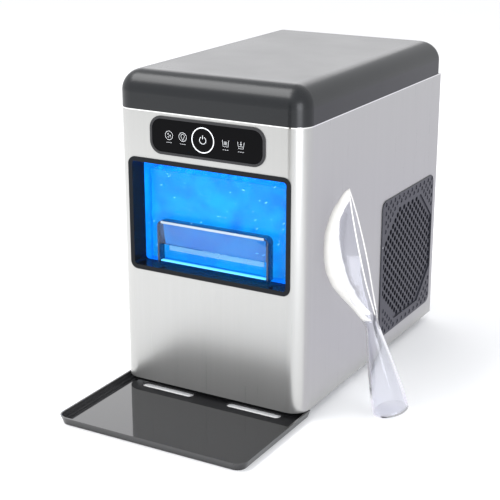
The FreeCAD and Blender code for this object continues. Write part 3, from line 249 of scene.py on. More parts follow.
def brushed(name, colour, roughness, grain, depth=0.00002, drift=0.05, metal=1.0):
    """Metal brushed along one axis, which the grain's stretch gives."""
    finish = Finish(name, Metallic=metal)
    fine = finish.noise(1.0, 2.0, 0.6, stretch=grain)
    broad = finish.noise(1.0, 3.0, 0.6, stretch=tuple(step * 0.09 for step in grain))
    tone = (fine * 0.45 + broad * 0.55).ease(0.3, 0.7)
    finish.set(
        Base_Color=finish.blend(tone, tinted(colour, 1.0 - drift), tinted(colour, 1.0 + drift)),
        Roughness=roughness + (fine - 0.5) * 0.10 + (broad - 0.5) * 0.05,
    )
    return finish.bump(fine, depth, 0.35)


def spangled(name, colour, roughness=0.42):
    """Zinc-coated sheet with its faint spangle."""
    finish = Finish(name, Metallic=0.85)
    grains = finish.cells(95.0, out="Color")
    fine = finish.noise(700.0)
    finish.set(
        Base_Color=finish.blend(finish.blend(0.16, fine, grains), tinted(colour, 0.82), tinted(colour, 1.12)),
        Roughness=roughness + (fine - 0.5) * 0.18,
    )
    return finish.bump(fine, 0.00003, 0.3)


def drawn_copper(name, colour):
    """Drawn tube with heat tint and dulled patches."""
    finish = Finish(name, Metallic=1.0)
    patch = finish.noise(38.0, 4.0, 0.6)
    finish.set(
        Base_Color=finish.blend(patch.ease(0.35, 0.7), tinted(colour, 0.62), colour),
        Roughness=0.22 + patch * 0.25,
    )
    return finish.bump(finish.noise(900.0), 0.00002, 0.3)


def cast_metal(name, colour, roughness=0.4):
    """Die-cast alloy: fine sand texture."""
    finish = Finish(name, Metallic=1.0)
    fine = finish.noise(1100.0, 3.0, 0.7)
    finish.set(
        Base_Color=finish.blend(fine, tinted(colour, 0.8), tinted(colour, 1.05)),
        Roughness=roughness + fine * 0.15,
    )
    return finish.bump(fine, 0.00005, 0.6)


def enamelled(name, colour):
    """Black stove enamel with light orange peel."""
    finish = Finish(name, Specular_IOR_Level=0.2)
    peel = finish.noise(260.0, 2.0)
    finish.set(
        Base_Color=finish.blend(finish.noise(14.0), tinted(colour, 0.8), tinted(colour, 1.6)),
        Roughness=0.3 + peel * 0.15,
    )
    return finish.bump(peel, 0.00006, 0.5)


def rubbery(name, colour, roughness=0.7):
    """Moulded rubber or hose with a dusty bloom."""
    finish = Finish(name)
    bloom = finish.noise(60.0, 4.0, 0.6)
    fine = finish.noise(1300.0)
    finish.set(
        Base_Color=finish.blend(bloom.ease(0.4, 0.8), colour, tinted(colour, 1.5)),
        Roughness=roughness + (bloom - 0.5) * 0.2,
    )
    return finish.bump(fine, 0.00005, 0.6)


def foamy(name, colour):
    """Closed-cell foam."""
    finish = Finish(name, Roughness=0.95)
    pores = finish.cells(420.0)
    finish.set(Base_Color=finish.blend(pores, tinted(colour, 0.5), tinted(colour, 1.8)))
    return finish.bump(pores, 0.0003, 0.8)


def printed_circuit(name, colour):
    """Board with tracks, pads and solder mask."""
    finish = Finish(name)
    tracks = finish.node(
        "ShaderNodeTexBrick",
        {"offset": 0.5},
        {
            "Vector": finish.spot((240.0, 240.0, 240.0)),
            "Color1": tinted(colour, 1.0),
            "Color2": tinted(colour, 0.75),
            "Mortar": (0.30, 0.36, 0.12),
            "Mortar Size": 0.03,
            "Scale": 1.0,
        },
    )
    finish.set(Base_Color=tracks, Roughness=0.35 + finish.noise(300.0) * 0.2)
    return finish.bump(finish.noise(500.0), 0.00004, 0.4)


def clear_sheet(name, colour, alpha, roughness=0.06, depth=0.00001, coat=0.4):
    """Thin clear or smoky plastic, told by its gloss and its faint tint."""
    finish = Finish(name, IOR=1.5, Coat_Weight=coat, Coat_Roughness=0.04)
    haze = finish.noise(16.0, 3.0)
    finish.set(
        Base_Color=finish.blend(haze, tinted(colour, 0.9), tinted(colour, 1.08)),
        Roughness=roughness + haze * 0.05,
        Alpha=alpha + (haze - 0.5) * 0.06,
    )
    return finish.bump(finish.noise(240.0), depth, 0.4)


def clear_block(name, colour, roughness=0.03):
    """Thick clear plastic that bends light."""
    finish = Finish(name, IOR=1.49, Transmission_Weight=1.0)
    haze = finish.noise(22.0, 2.0)
    finish.set(
        Base_Color=finish.blend(haze, tinted(colour, 0.94), tinted(colour, 1.05)),
        Roughness=roughness + haze * 0.03,
    )
    return finish.bump(finish.noise(90.0), 0.00002, 0.3)


def milky_block(name, colour, milk, reach):
    """Clear plastic of the scoop: milky along the belly, with a painted highlight along the rim. The reach is
    in metres.
    """
    finish = clear_block(name, colour)
    across, along, height = (axis - foot for axis, foot in zip(finish.axes(), SCOOP_FOOT))
    out = across * SCOOP_OPENING.x + along * SCOOP_OPENING.y + height * SCOOP_OPENING.z
    up = across * SCOOP_HEADING.x + along * SCOOP_HEADING.y + height * SCOOP_HEADING.z
    middle, half_length, depth = 0.200, 0.086, 0.0487
    belly = SCOOP_RIM * MM - (1.0 - ((up - middle) / half_length) ** 2.0).most(0.0) ** 0.5 * depth
    ripple = (finish.noise(70.0, 2.0) - 0.5) * 0.005
    edge = out - belly - reach + ripple
    band = (1.0 - edge.ease(-0.001, 0.001)) * up.ease(0.124, 0.130)
    # Painted highlight: a bright band along the rim.
    rim = out.ease(0.0066, 0.0072) * up.ease(0.130, 0.136)
    return finish.veil((band * 0.92).most(rim * 0.8), milk, 0.35)


def lit_ice(name, deep, bright, strength):
    """Nuggets glowing with the lamp's light, painted into their emission: cloudy, with painted shade in the
    gaps between the lumps and painted glints.
    """
    finish = Finish(name, Emission_Strength=strength, IOR=1.31, Specular_IOR_Level=0.2)
    cloud = finish.noise(17.0, 4.0, 0.62, twist=0.6)
    lumps = finish.cells(85.0, "SMOOTH_F1")
    # Painted glints: small pale spots mixed into the glow.
    painted_glints = finish.noise(330.0, 2.0, 0.5).ease(0.69, 0.76)
    # Painted shade: the glow is darker towards the gaps between the lumps.
    level = (cloud.ease(0.28, 0.66) * 0.75 + (1.0 - lumps).ease(0.2, 0.75) * 0.25).least(1.0)
    blue = finish.blend(level, deep, bright)
    glow = finish.blend(painted_glints * 0.35, blue, (0.55, 0.85, 1.0))
    finish.set(Base_Color=glow, Emission_Color=glow, Roughness=0.25 + cloud * 0.2)
    finish.material.cycles.emission_sampling = "NONE"
    return finish.bump(lumps + cloud * 0.4, 0.001, 0.5)


def glowing(name, colour, strength, drift=0.15):
    """A lamp, or a surface that a lamp floods with light."""
    finish = Finish(name, Emission_Strength=strength)
    haze = finish.noise(30.0, 3.0)
    tone = finish.blend(haze, tinted(colour, 1.0 - drift), tinted(colour, 1.0 + drift))
    finish.set(Base_Color=tone, Emission_Color=tone, Roughness=0.3 + haze * 0.1)
    finish.material.cycles.emission_sampling = "NONE"
    return finish


def make_finishes(look):
    """Every finish of the ice maker, under the name of its material slot."""
    steel, cover, grille, tray = (tuple(tone) for tone in (look.steel, look.cover, look.grille, look.tray))
    deep, bright = tuple(look.ice_deep), tuple(look.ice_bright)
    upright, turned = (1100.0, 1100.0, 9.0), (40.0, 40.0, 900.0)
    return {
        "stainless": brushed("brushed_stainless", steel, 0.30, upright, depth=0.000008, drift=0.02, metal=0.82),
        "galvanised": spangled("galvanised_sheet", (0.55, 0.56, 0.58)),
        "cover_plastic": moulded("satin_cover", cover, 0.30, 1900.0, depth=0.000012, drift=0.08, sheen=0.40),
        "rubber": rubbery("black_rubber", (0.02, 0.02, 0.02)),
        "frame_plastic": moulded(
            "gloss_frame", (0.008, 0.009, 0.011), 0.18, 900.0, depth=0.000006, drift=0.1, sheen=0.12
        ),
        "liner_plastic": lit_ice("lit_liner", tinted(deep, 0.9), tinted(bright, 0.9), strength=0.80),
        "lamp": glowing("lamp_strip", (0.20, 0.62, 1.0), strength=2.2),
        "black_plastic": moulded("black_plastic", (0.014, 0.014, 0.016), 0.42),
        "clear_plastic": clear_sheet(
            "clear_window", (0.01, 0.10, 0.30), alpha=0.05, roughness=0.05, depth=0.000004, coat=0.0
        ),
        "bin_plastic": clear_sheet("blue_bin", (0.003, 0.20, 0.62), alpha=0.10, roughness=0.08, coat=0.0),
        "panel_glass": moulded(
            "panel_glass", (0.0015, 0.0015, 0.002), 0.06, 300.0, depth=0.000001, drift=0.1, sheen=0.06
        ),
        "circuit": printed_circuit("circuit_board", (0.01, 0.12, 0.05)),
        "grille_plastic": moulded("grille_plastic", grille, 0.34, 1300.0, drift=0.1, sheen=0.4),
        "tank_plastic": clear_sheet(
            "tank_plastic", (0.75, 0.78, 0.82), alpha=0.55, roughness=0.3, depth=0.00004
        ),
        "white_plastic": moulded("white_plastic", (0.72, 0.72, 0.70), 0.35),
        "hose": rubbery("silicone_hose", (0.55, 0.55, 0.53), 0.45),
        "inner_steel": brushed("turned_steel", (0.55, 0.55, 0.55), 0.25, turned),
        "copper": drawn_copper("copper_tube", (0.72, 0.36, 0.20)),
        "foam": foamy("foam_lagging", (0.03, 0.03, 0.03)),
        "alloy": cast_metal("cast_alloy", (0.62, 0.62, 0.63)),
        # Near-black enamel: the motor's own paint, and painted shade for the parts seen through the grille
        # holes.
        "motor_paint": enamelled("black_enamel_and_shade", (0.004, 0.004, 0.005)),
        "screw_steel": brushed("screw_steel", (0.6, 0.6, 0.6), 0.2, (200.0, 200.0, 200.0)),
        "tray_plastic": moulded("gloss_tray", tray, 0.05, 500.0, depth=0.000002, drift=0.08, sheen=0.55),
        "scoop_plastic": clear_block("clear_scoop", (0.95, 0.955, 0.975)),
        "bearing_brass": brushed("bearing_brass", (0.62, 0.46, 0.20), 0.3, (60.0, 60.0, 900.0)),
    }


# ---------------------------------------------------------------- modelling helpers


def clear_selection():
    active = bpy.context.object
    if active is not None and active.mode != "OBJECT":
        bpy.ops.object.mode_set(mode="OBJECT")
    bpy.ops.object.select_all(action="DESELECT")


def added(name):
    """The primitive that was just added, under its name."""
    piece = bpy.context.object
    piece.name = name
    piece.data.name = name
    return piece


def settle(piece):
    """Puts the piece's place, turn and size into its mesh."""
    clear_selection()
    piece.select_set(True)
    bpy.context.view_layer.objects.active = piece
    bpy.ops.object.transform_apply(location=True, rotation=True, scale=True)
    return piece


def block(name, low, high):
    """A box between two corners, given in millimetres, with its place in its mesh."""
    clear_selection()
    low, high = Vector(low) * MM, Vector(high) * MM
    bpy.ops.mesh.primitive_cube_add(size=1.0, location=(low + high) / 2)
    piece = added(name)
    piece.scale = high - low
    return settle(piece)


def pick(piece, kind, test):
    """Edit mode with the vertices, edges or faces selected whose middle and direction pass the test."""
    bpy.ops.object.mode_set(mode="EDIT")
    bpy.ops.mesh.select_mode(type=kind)
    bpy.ops.mesh.select_all(action="DESELECT")
    mesh = bmesh.from_edit_mesh(piece.data)
    parts = {"VERT": mesh.verts, "EDGE": mesh.edges, "FACE": mesh.faces}[kind]
    for part in parts:
        if kind == "VERT":
            chosen = test(part.co / MM, part.normal)
        elif kind == "EDGE":
            first, second = (vert.co for vert in part.verts)
            chosen = test((first + second) / 2 / MM, (second - first).normalized())
        else:
            chosen = test(part.calc_center_median() / MM, part.normal)
        part.select_set(chosen)
    mesh.select_flush_mode()
    bmesh.update_edit_mesh(piece.data)


def object_mode():
    bpy.ops.object.mode_set(mode="OBJECT")


def rounded_edges(piece, test, radius, segments=8):
    """Rounds the edges that pass the test; the radius is in millimetres."""
    pick(piece, "EDGE", test)
    bpy.ops.mesh.bevel(offset=radius * MM, segments=segments, affect="EDGES")
    object_mode()


def softened(piece, width, segments=3, angle=40.0):
    """Breaks every sharp edge; the width is in millimetres."""
    clear_selection()
    piece.select_set(True)
    bpy.context.view_layer.objects.active = piece
    soft = piece.modifiers.new("soft_edges", "BEVEL")
    soft.width = width * MM
    soft.segments = segments
    soft.limit_method = "ANGLE"
    soft.angle_limit = math.radians(angle)
    bpy.ops.object.modifier_apply(modifier=soft.name)


def cut(piece, *tools):
    """Takes the tools' shapes out of the piece."""
    for tool in tools:
        clear_selection()
        piece.select_set(True)
        bpy.context.view_layer.objects.active = piece
        carve = piece.modifiers.new("carve", "BOOLEAN")
        carve.operation = "DIFFERENCE"
        carve.solver = "EXACT"
        carve.object = tool
        bpy.ops.object.modifier_apply(modifier=carve.name)
        bpy.data.objects.remove(tool)


def copied(model, place, turn, size):
    """A copy with its own mesh; its place is in millimetres."""
    copy = model.copy()
    copy.data = model.data.copy()
    copy.location = Vector(place) * MM
    copy.rotation_euler = turn
    copy.scale = size
    bpy.context.scene.collection.objects.link(copy)
    return copy


def joined(name, *parts):
    clear_selection()
    for part in parts:
        part.select_set(True)
    bpy.context.view_layer.objects.active = parts[0]
    bpy.ops.object.join()
    return added(name)


def strokes(name, lines, width, plane):
    """Printed lines on the front: each a list of (across, height) points in millimetres."""
    clear_selection()
    curve = bpy.data.curves.new(name, "CURVE")
    curve.dimensions = "3D"
    curve.bevel_depth = width / 2 * MM
    curve.bevel_resolution = 1
    curve.use_fill_caps = True
    for points, closed in lines:
        spline = curve.splines.new("POLY")
        spline.points.add(len(points) - 1)
        for point, (across, height) in zip(spline.points, points):
            point.co = (across * MM, 0.0, height * MM, 1.0)
        spline.use_cyclic_u = closed
    piece = bpy.data.objects.new(name, curve)
    bpy.context.scene.collection.objects.link(piece)
    piece.select_set(True)
    bpy.context.view_layer.objects.active = piece
    bpy.ops.object.convert(target="MESH")
    piece = added(name)
    piece.scale = (1.0, 0.12, 1.0)
    piece.location = (0.0, plane, 0.0)
    return settle(piece)


def arc(across, height, radius, start=0.0, end=360.0, steps=40):
    """Points on an arc, by its centre, radius and angles."""
    span = end - start
    count = steps if span >= 360.0 else steps + 1
    return [
        (
            across + radius * math.cos(math.radians(start + span * i / steps)),
            height + radius * math.sin(math.radians(start + span * i / steps)),
        )
        for i in range(count)
    ]


def between(profile, place):
    """The value of a profile of (place, value) pairs, in straight lines between them."""
    for (low, first), (high, last) in zip(profile, profile[1:]):
        if place <= high:
            share = (place - low) / (high - low)
            return first + (last - first) * share
    return profile[-1][1]


def finished(piece, body, finish, replaces=(), smooth=35.0):
    """Applies what is left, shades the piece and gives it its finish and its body."""
    settle(piece)
    for modifier in list(piece.modifiers):
        bpy.ops.object.modifier_apply(modifier=modifier.name)
    bpy.ops.object.shade_smooth_by_angle(angle=math.radians(smooth))
    piece.data.materials.clear()
    piece.data.materials.append(finish.material)
    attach(piece, body)
    if replaces:
        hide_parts(*replaces)
    return piece


# ---------------------------------------------------------------- settings


class IceMakerLooks(bpy.types.PropertyGroup):
    """Colours of the ice maker's outer pieces"""

    steel: FloatVectorProperty(
        name="Steel", description="Tone of the brushed casing", subtype="COLOR", default=(0.46, 0.459, 0.448)
    )
    cover: FloatVectorProperty(
        name="Cover", description="Plastic of the top cover", subtype="COLOR", default=(0.0075, 0.0085, 0.010)
    )
    grille: FloatVectorProperty(
        name="Grille",
        description="Plastic of the side grille",
        subtype="COLOR",
        default=(0.024, 0.025, 0.034),
    )
    tray: FloatVectorProperty(
        name="Tray", description="Plastic of the drip tray", subtype="COLOR", default=(0.024, 0.024, 0.025)
    )
    ice_deep: FloatVectorProperty(
        name="Deep ice",
        description="Shaded parts of the lit ice",
        subtype="COLOR",
        default=(0.006, 0.18, 0.74),
    )
    ice_bright: FloatVectorProperty(
        name="Bright ice",
        description="Bright parts of the lit ice",
        subtype="COLOR",
        default=(0.004, 0.35, 0.90),
    )
    nuggets: IntProperty(name="Nuggets", description="Loose nuggets on the heap", default=150, min=0)
    drops: IntProperty(name="Drops", description="Frozen drops on the window", default=26, min=0)


class IceMakerView(bpy.types.PropertyGroup):
    """Camera and lights round the ice maker"""

    lens: FloatProperty(name="Lens", description="Focal length of the camera", unit="CAMERA", default=90.97)
    turn: FloatProperty(
        name="Turn",
        description="Turn of the camera round the machine",
        subtype="ANGLE",
        default=math.radians(29.64),
    )
    tilt: FloatProperty(
        name="Tilt", description="Downward tilt of the camera", subtype="ANGLE", default=math.radians(18.13)
    )
    stand: FloatVectorProperty(
        name="Stand",
        description="Place of the camera",
        subtype="XYZ",
        unit="LENGTH",
        default=(0.7634, -1.4443, 0.6778),
    )
    key: FloatProperty(name="Key", description="Power of the rear softbox", unit="POWER", default=8.0)


# ---------------------------------------------------------------- operators


class ICEMAKER_OT_stage(bpy.types.Operator):
    """Adds the floor, the camera and the studio lights"""

    bl_idname = "icemaker.stage"
    bl_label = "Stage"

    def execute(self, context):
        scene = context.scene
        view = scene.icemaker_view
        clear_selection()
        bpy.ops.mesh.primitive_plane_add(size=60.0)
        floor = added("studio_floor")
        paper = Finish("floor_paper", Roughness=0.9, Specular_IOR_Level=0.1)
        tone = paper.noise(3.0, 2.0)
        paper.set(Base_Color=paper.blend(tone, (0.94, 0.94, 0.94), (0.96, 0.96, 0.96)))
        floor.data.materials.append(paper.material)

        bpy.ops.object.camera_add(location=view.stand, rotation=(math.pi / 2 - view.tilt, 0.0, view.turn))
        camera = context.object
        camera.name = "studio_camera"
        camera.data.lens = view.lens
        camera.data.sensor_width = 36.0
        camera.data.clip_end = 80.0
        scene.camera = camera

        world = bpy.data.worlds.new("studio_air")
        scene.world = world
        world.use_nodes = True
        sky = world.node_tree.nodes["Background"]
        sky.inputs["Color"].default_value = (0.97, 0.98, 1.0, 1.0)
        sky.inputs["Strength"].default_value = 1.05
        scene.view_settings.view_transform = "Standard"

        # Each light's name, place, aim, width and length, power and tint.
        for name, place, aim, size, power, tint in (
            ("overhead_softbox", (-1.0, -0.75, 1.9), (-1.0, -0.75, 0.0), (1.3, 1.5), 36.0, (1.0, 1.0, 1.0)),
            ("rear_softbox", (-1.1, 1.9, 1.25), (0.0, 0.0, 0.4), (1.8, 1.0), view.key, (1.0, 0.99, 1.0)),
            ("corner_softbox", (1.13, -1.20, 0.50), (0.13, -0.2, 0.2), (0.80, 1.1), 13.0, (0.93, 0.95, 1.0)),
        ):
            bpy.ops.object.light_add(type="AREA", location=place)
            light = context.object
            light.name = name
            light.rotation_euler = (Vector(aim) - Vector(place)).to_track_quat("-Z", "Y").to_euler()
            light.data.shape = "RECTANGLE"
            light.data.size, light.data.size_y = size
            light.data.energy = power
            light.data.color = tint
            light.visible_camera = False

        # Cards that only reflections show: each one's name, place, aim, width and length, and tone.
        for name, place, aim, size, tone in (
            ("front_board", (-0.06, -0.90, 0.35), (0.13, -0.2, 0.35), (0.16, 0.75), (0.16, 0.145, 0.11)),
            ("side_board", (0.75, 1.05, 0.002), (0.75, 1.05, 1.0), (1.2, 2.5), (0.92, 0.90, 1.12)),
        ):
            clear_selection()
            turn = (Vector(aim) - Vector(place)).to_track_quat("Z", "Y").to_euler()
            bpy.ops.mesh.primitive_plane_add(size=1.0, location=place, rotation=turn)
            board = added(name)
            board.scale = (*size, 1.0)
            settle(board)
            card = Finish(name + "_card", Emission_Strength=1.0, Roughness=1.0, Specular_IOR_Level=0.0)
            shade = card.blend(card.noise(2.0), tinted(tone, 0.9), tinted(tone, 1.1))
            card.set(Base_Color=(0.0, 0.0, 0.0), Emission_Color=shade)
            card.material.cycles.emission_sampling = "NONE"
            board.data.materials.append(card.material)
            board.visible_camera = False
            board.visible_diffuse = False
            board.visible_shadow = False
            board.visible_transmission = False
        return {"FINISHED"}


class ICEMAKER_OT_finishes(bpy.types.Operator):
    """Gives every carried-over part the finish of its material slot"""

    bl_idname = "icemaker.finishes"
    bl_label = "Finishes"

    def execute(self, context):
        finishes = make_finishes(context.scene.icemaker_looks)
        slots = {part["node"]: part["material_slot"] for part in frame["record"]["subparts"]}
        for name, node in NODES.items():
            for place in node.material_slots:
                place.material = finishes[slots[name]].material
        return {"FINISHED"}


class ICEMAKER_OT_ice(bpy.types.Operator):
    """Fills the bin with lit nugget ice"""

    bl_idname = "icemaker.ice"
    bl_label = "Ice"

    def execute(self, context):
        look = context.scene.icemaker_looks
        rolls = random.Random(7)
        low, high = (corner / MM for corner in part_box("ice_bin"))
        middle = (low + high) / 2
        gap, top = 2.6, high.z - 1.0
        half_across, half_along = 98.0, 74.0
        crown, crown_root = 9.0, 30.0

        heap_low = (low.x + gap, low.y + gap + 0.1, low.z + gap)
        heap = block("ice_heap", heap_low, (high.x - gap, high.y - gap, top))
        bpy.ops.object.mode_set(mode="EDIT")
        bpy.ops.mesh.select_all(action="SELECT")
        bpy.ops.mesh.subdivide(number_cuts=44)
        object_mode()
        for vert in heap.data.vertices:
            place = vert.co / MM
            reach = max(0.0, 1.0 - (place.x - middle.x) ** 2 / half_across**2)
            reach *= max(0.0, 1.0 - (place.y - middle.y) ** 2 / half_along**2)
            if place.z > top - crown_root:
                vert.co.z += crown * MM * reach * (place.z - top + crown_root) / crown_root
        lumps = bpy.data.textures.new("ice_lumps", "VORONOI")
        lumps.noise_scale = 0.013
        swell = heap.modifiers.new("lumps", "DISPLACE")
        swell.texture = lumps
        swell.texture_coords = "LOCAL"
        swell.strength = -2.2 * MM
        swell.mid_level = 0.0
        ice = lit_ice("lit_ice", tuple(look.ice_deep), tuple(look.ice_bright), strength=0.80)
        finished(heap, "drawer", ice, smooth=60.0)

        nuggets = []
        clear_selection()
        bpy.ops.mesh.primitive_cylinder_add(vertices=10, radius=4.6 * MM, depth=9.0 * MM)
        model = added("nugget")
        softened(model, 1.3, 2)
        margin = 9.0
        for _ in range(look.nuggets):
            across = rolls.uniform(low.x + margin, high.x - margin)
            along = rolls.uniform(low.y + margin, high.y - margin)
            reach = 1.0 - (across - middle.x) ** 2 / half_across**2
            reach *= 1.0 - (along - middle.y) ** 2 / half_along**2
            turn = [rolls.uniform(0.0, math.tau) for _ in range(3)]
            size = rolls.uniform(0.75, 1.1)
            place = (across, along, top + 8.0 * max(0.0, reach) - 0.5)
            nuggets.append(copied(model, place, turn, (size, size * rolls.uniform(0.85, 1.0), size)))
        bpy.data.objects.remove(model)
        finished(joined("ice_nuggets", *nuggets), "drawer", ice, smooth=50.0)
        return {"FINISHED"}


class ICEMAKER_OT_pull(bpy.types.Operator):
    """Moulds the drawer's finger pull, its ledge and the drops on the window"""

    bl_idname = "icemaker.pull"
    bl_label = "Finger pull"

    def execute(self, context):
        low, high = (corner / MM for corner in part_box("drawer_pull"))
        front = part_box("drawer_window")[0].y / MM
        self.mould(low, high)
        self.light(low, high, front)
        self.sprinkle(front, context.scene.icemaker_looks.drops)
        return {"FINISHED"}

    @staticmethod
    def mould(low, high):
        """The clear hood with its two legs, with painted shade where its walls are seen on edge."""
        wall, face, beyond, gate_top = 3.0, 2.6, 20.0, 196.0
        pull = block("finger_pull", low, high)
        rounded_edges(pull, lambda m, way: abs(way.y) > 0.9 and m.z > high.z - 1.0, 8.0, 8)
        inner_low = Vector((low.x + wall, low.y + face, low.z - beyond))
        inner_high = Vector((high.x - wall, high.y + 5.0, high.z - wall))
        hollow = block("pull_hollow", inner_low, inner_high)
        rounded_edges(hollow, lambda m, way: abs(way.y) > 0.9 and m.z > high.z - 10.0, 5.5, 6)
        gate_low = (inner_low.x, low.y - 5.0, inner_low.z)
        gate = block("pull_gate", gate_low, (inner_high.x, inner_high.y, gate_top))
        cut(pull, hollow, gate)
        softened(pull, 1.2, 3)

        clear = clear_block("clear_pull", (0.42, 0.72, 0.84), 0.02)
        across, along, up = clear.axes()
        middle, half = (low.x + high.x) / 2 * MM, (high.x - low.x) / 2 * MM
        sides = abs(across - middle).ease(half - 0.0036, half - 0.0028)
        roof = up.ease(high.z * MM - 0.0034, high.z * MM - 0.0028)
        roof = roof * along.ease(low.y * MM + 0.0018, low.y * MM + 0.0026)
        # Painted shade: a dark navy veil over the hood's side walls and roof.
        clear.veil(sides.most(roof) * 0.82, (0.010, 0.030, 0.085), 0.12)
        finished(pull, "drawer", clear, ("drawer_pull",))

        # Painted highlight: a pale strip along the hood's top front edge stands for its gleam.
        inset = 6.0
        gleam_low = (low.x + inset, low.y - 0.25, high.z - 3.4)
        gleam = block("pull_gleam", gleam_low, (high.x - inset, low.y + 0.9, high.z - 0.4))
        softened(gleam, 0.25, 2)
        edge_gleam = moulded("painted_edge_gleam", (0.42, 0.50, 0.58), 0.25, 900.0, depth=0.00001)
        finished(gleam, "drawer", edge_gleam)

    @staticmethod
    def light(low, high, front):
        """The lit ledge at the pull's foot and the pale band behind it."""
        proud, flush, side = 5.8, 0.05, 4.2
        ledge_low = (low.x + side, front - proud, low.z + 2.2)
        ledge = block("window_ledge", ledge_low, (high.x - side, front - flush, low.z + 3.7))
        softened(ledge, 0.6, 2)
        finished(ledge, "drawer", glowing("lit_ledge", (0.12, 0.56, 1.0), strength=0.75))

        band = block("window_band", (low.x + 14.0, front - 0.5, 187.0), (high.x - 9.0, front - flush, 193.5))
        softened(band, 0.2, 1)
        pale = clear_sheet("window_band", (0.25, 0.62, 0.95), alpha=0.35, roughness=0.3)
        finished(band, "drawer", pale)

    @staticmethod
    def sprinkle(front, count):
        """Frozen drops, flat on the window, glowing with a painted glint."""
        rolls = random.Random(21)
        clear_selection()
        bpy.ops.mesh.primitive_uv_sphere_add(segments=12, ring_count=8, radius=1.0 * MM)
        model = added("drop")
        drops = []
        for _ in range(count):
            across = rolls.uniform(-88.0, 103.0)
            height = rolls.uniform(181.0, 290.0)
            size = (rolls.uniform(0.7, 2.3), 0.28, rolls.uniform(0.35, 0.6))
            turn = (0.0, rolls.uniform(-0.9, 0.1), 0.0)
            drops.append(copied(model, (across, front, height), turn, size))
        bpy.data.objects.remove(model)
        water = joined("frost_drops", *drops)
        # Painted glints: the drops glow pale blue.
        finished(water, "drawer", glowing("painted_drop_glint", (0.16, 0.54, 1.0), strength=0.85))


class ICEMAKER_OT_scoop(bpy.types.Operator):
    """Moulds the clear scoop with its hollow handle and open bowl"""

    bl_idname = "icemaker.scoop"
    bl_label = "Scoop"

    def execute(self, context):
        rings, sides = 96, 80
        clear_selection()
        bpy.ops.mesh.primitive_uv_sphere_add(segments=sides, ring_count=rings, radius=1.0)
        scoop = added("clear_scoop")
        for vert in scoop.data.vertices:
            ring = round(math.acos(max(-1.0, min(1.0, -vert.co.z))) * rings / math.pi)
            around = math.atan2(vert.co.y, vert.co.x)
            height = SCOOP_TIP * max(0, ring - 1) / (rings - 1)
            middle, deep, wide = self.section(height)
            if ring in (0, rings):
                deep = wide = 0.0
            vert.co = Vector((middle + deep * math.cos(around), wide * math.sin(around), height)) * MM
        pick(scoop, "FACE", lambda m, way: m.z > SCOOP_NECK - 2.0)
        bpy.ops.mesh.bisect(plane_co=(SCOOP_RIM * MM, 0.0, 0.0), plane_no=(1.0, 0.0, 0.0), clear_outer=True)
        object_mode()
        wall = scoop.modifiers.new("wall", "SOLIDIFY")
        wall.thickness = 2.2 * MM
        wall.offset = -1.0
        bpy.ops.object.modifier_apply(modifier=wall.name)
        turn = Matrix((SCOOP_OPENING, SCOOP_HEADING.cross(SCOOP_OPENING), SCOOP_HEADING)).transposed()
        scoop.matrix_world = Matrix.Translation(SCOOP_FOOT) @ turn.to_4x4()
        clear = milky_block("milky_scoop", (0.90, 0.905, 0.945), milk=(0.86, 0.845, 0.81), reach=0.0185)
        finished(scoop, "scoop", clear, ("ice_scoop",), 40.0)
        scoop.visible_shadow = False
        scoop.visible_glossy = False
        return {"FINISHED"}

    @staticmethod
    def section(height):
        """Middle, depth and half width of the scoop at a height along it, in millimetres."""
        if height < SCOOP_NECK:
            radius = between(GRIP, height)
            return 0.0, radius, radius
        beyond = height - SCOOP_NECK
        middle = SCOOP_RIM * beyond / (SCOOP_TIP - SCOOP_NECK)
        deep = max(0.0, middle - SCOOP_RIM + between(BELLY, height))
        share = 0.84 + 0.16 * max(0.0, 1.0 - beyond / 30.0)
        return middle, deep, min(37.0, share * deep)


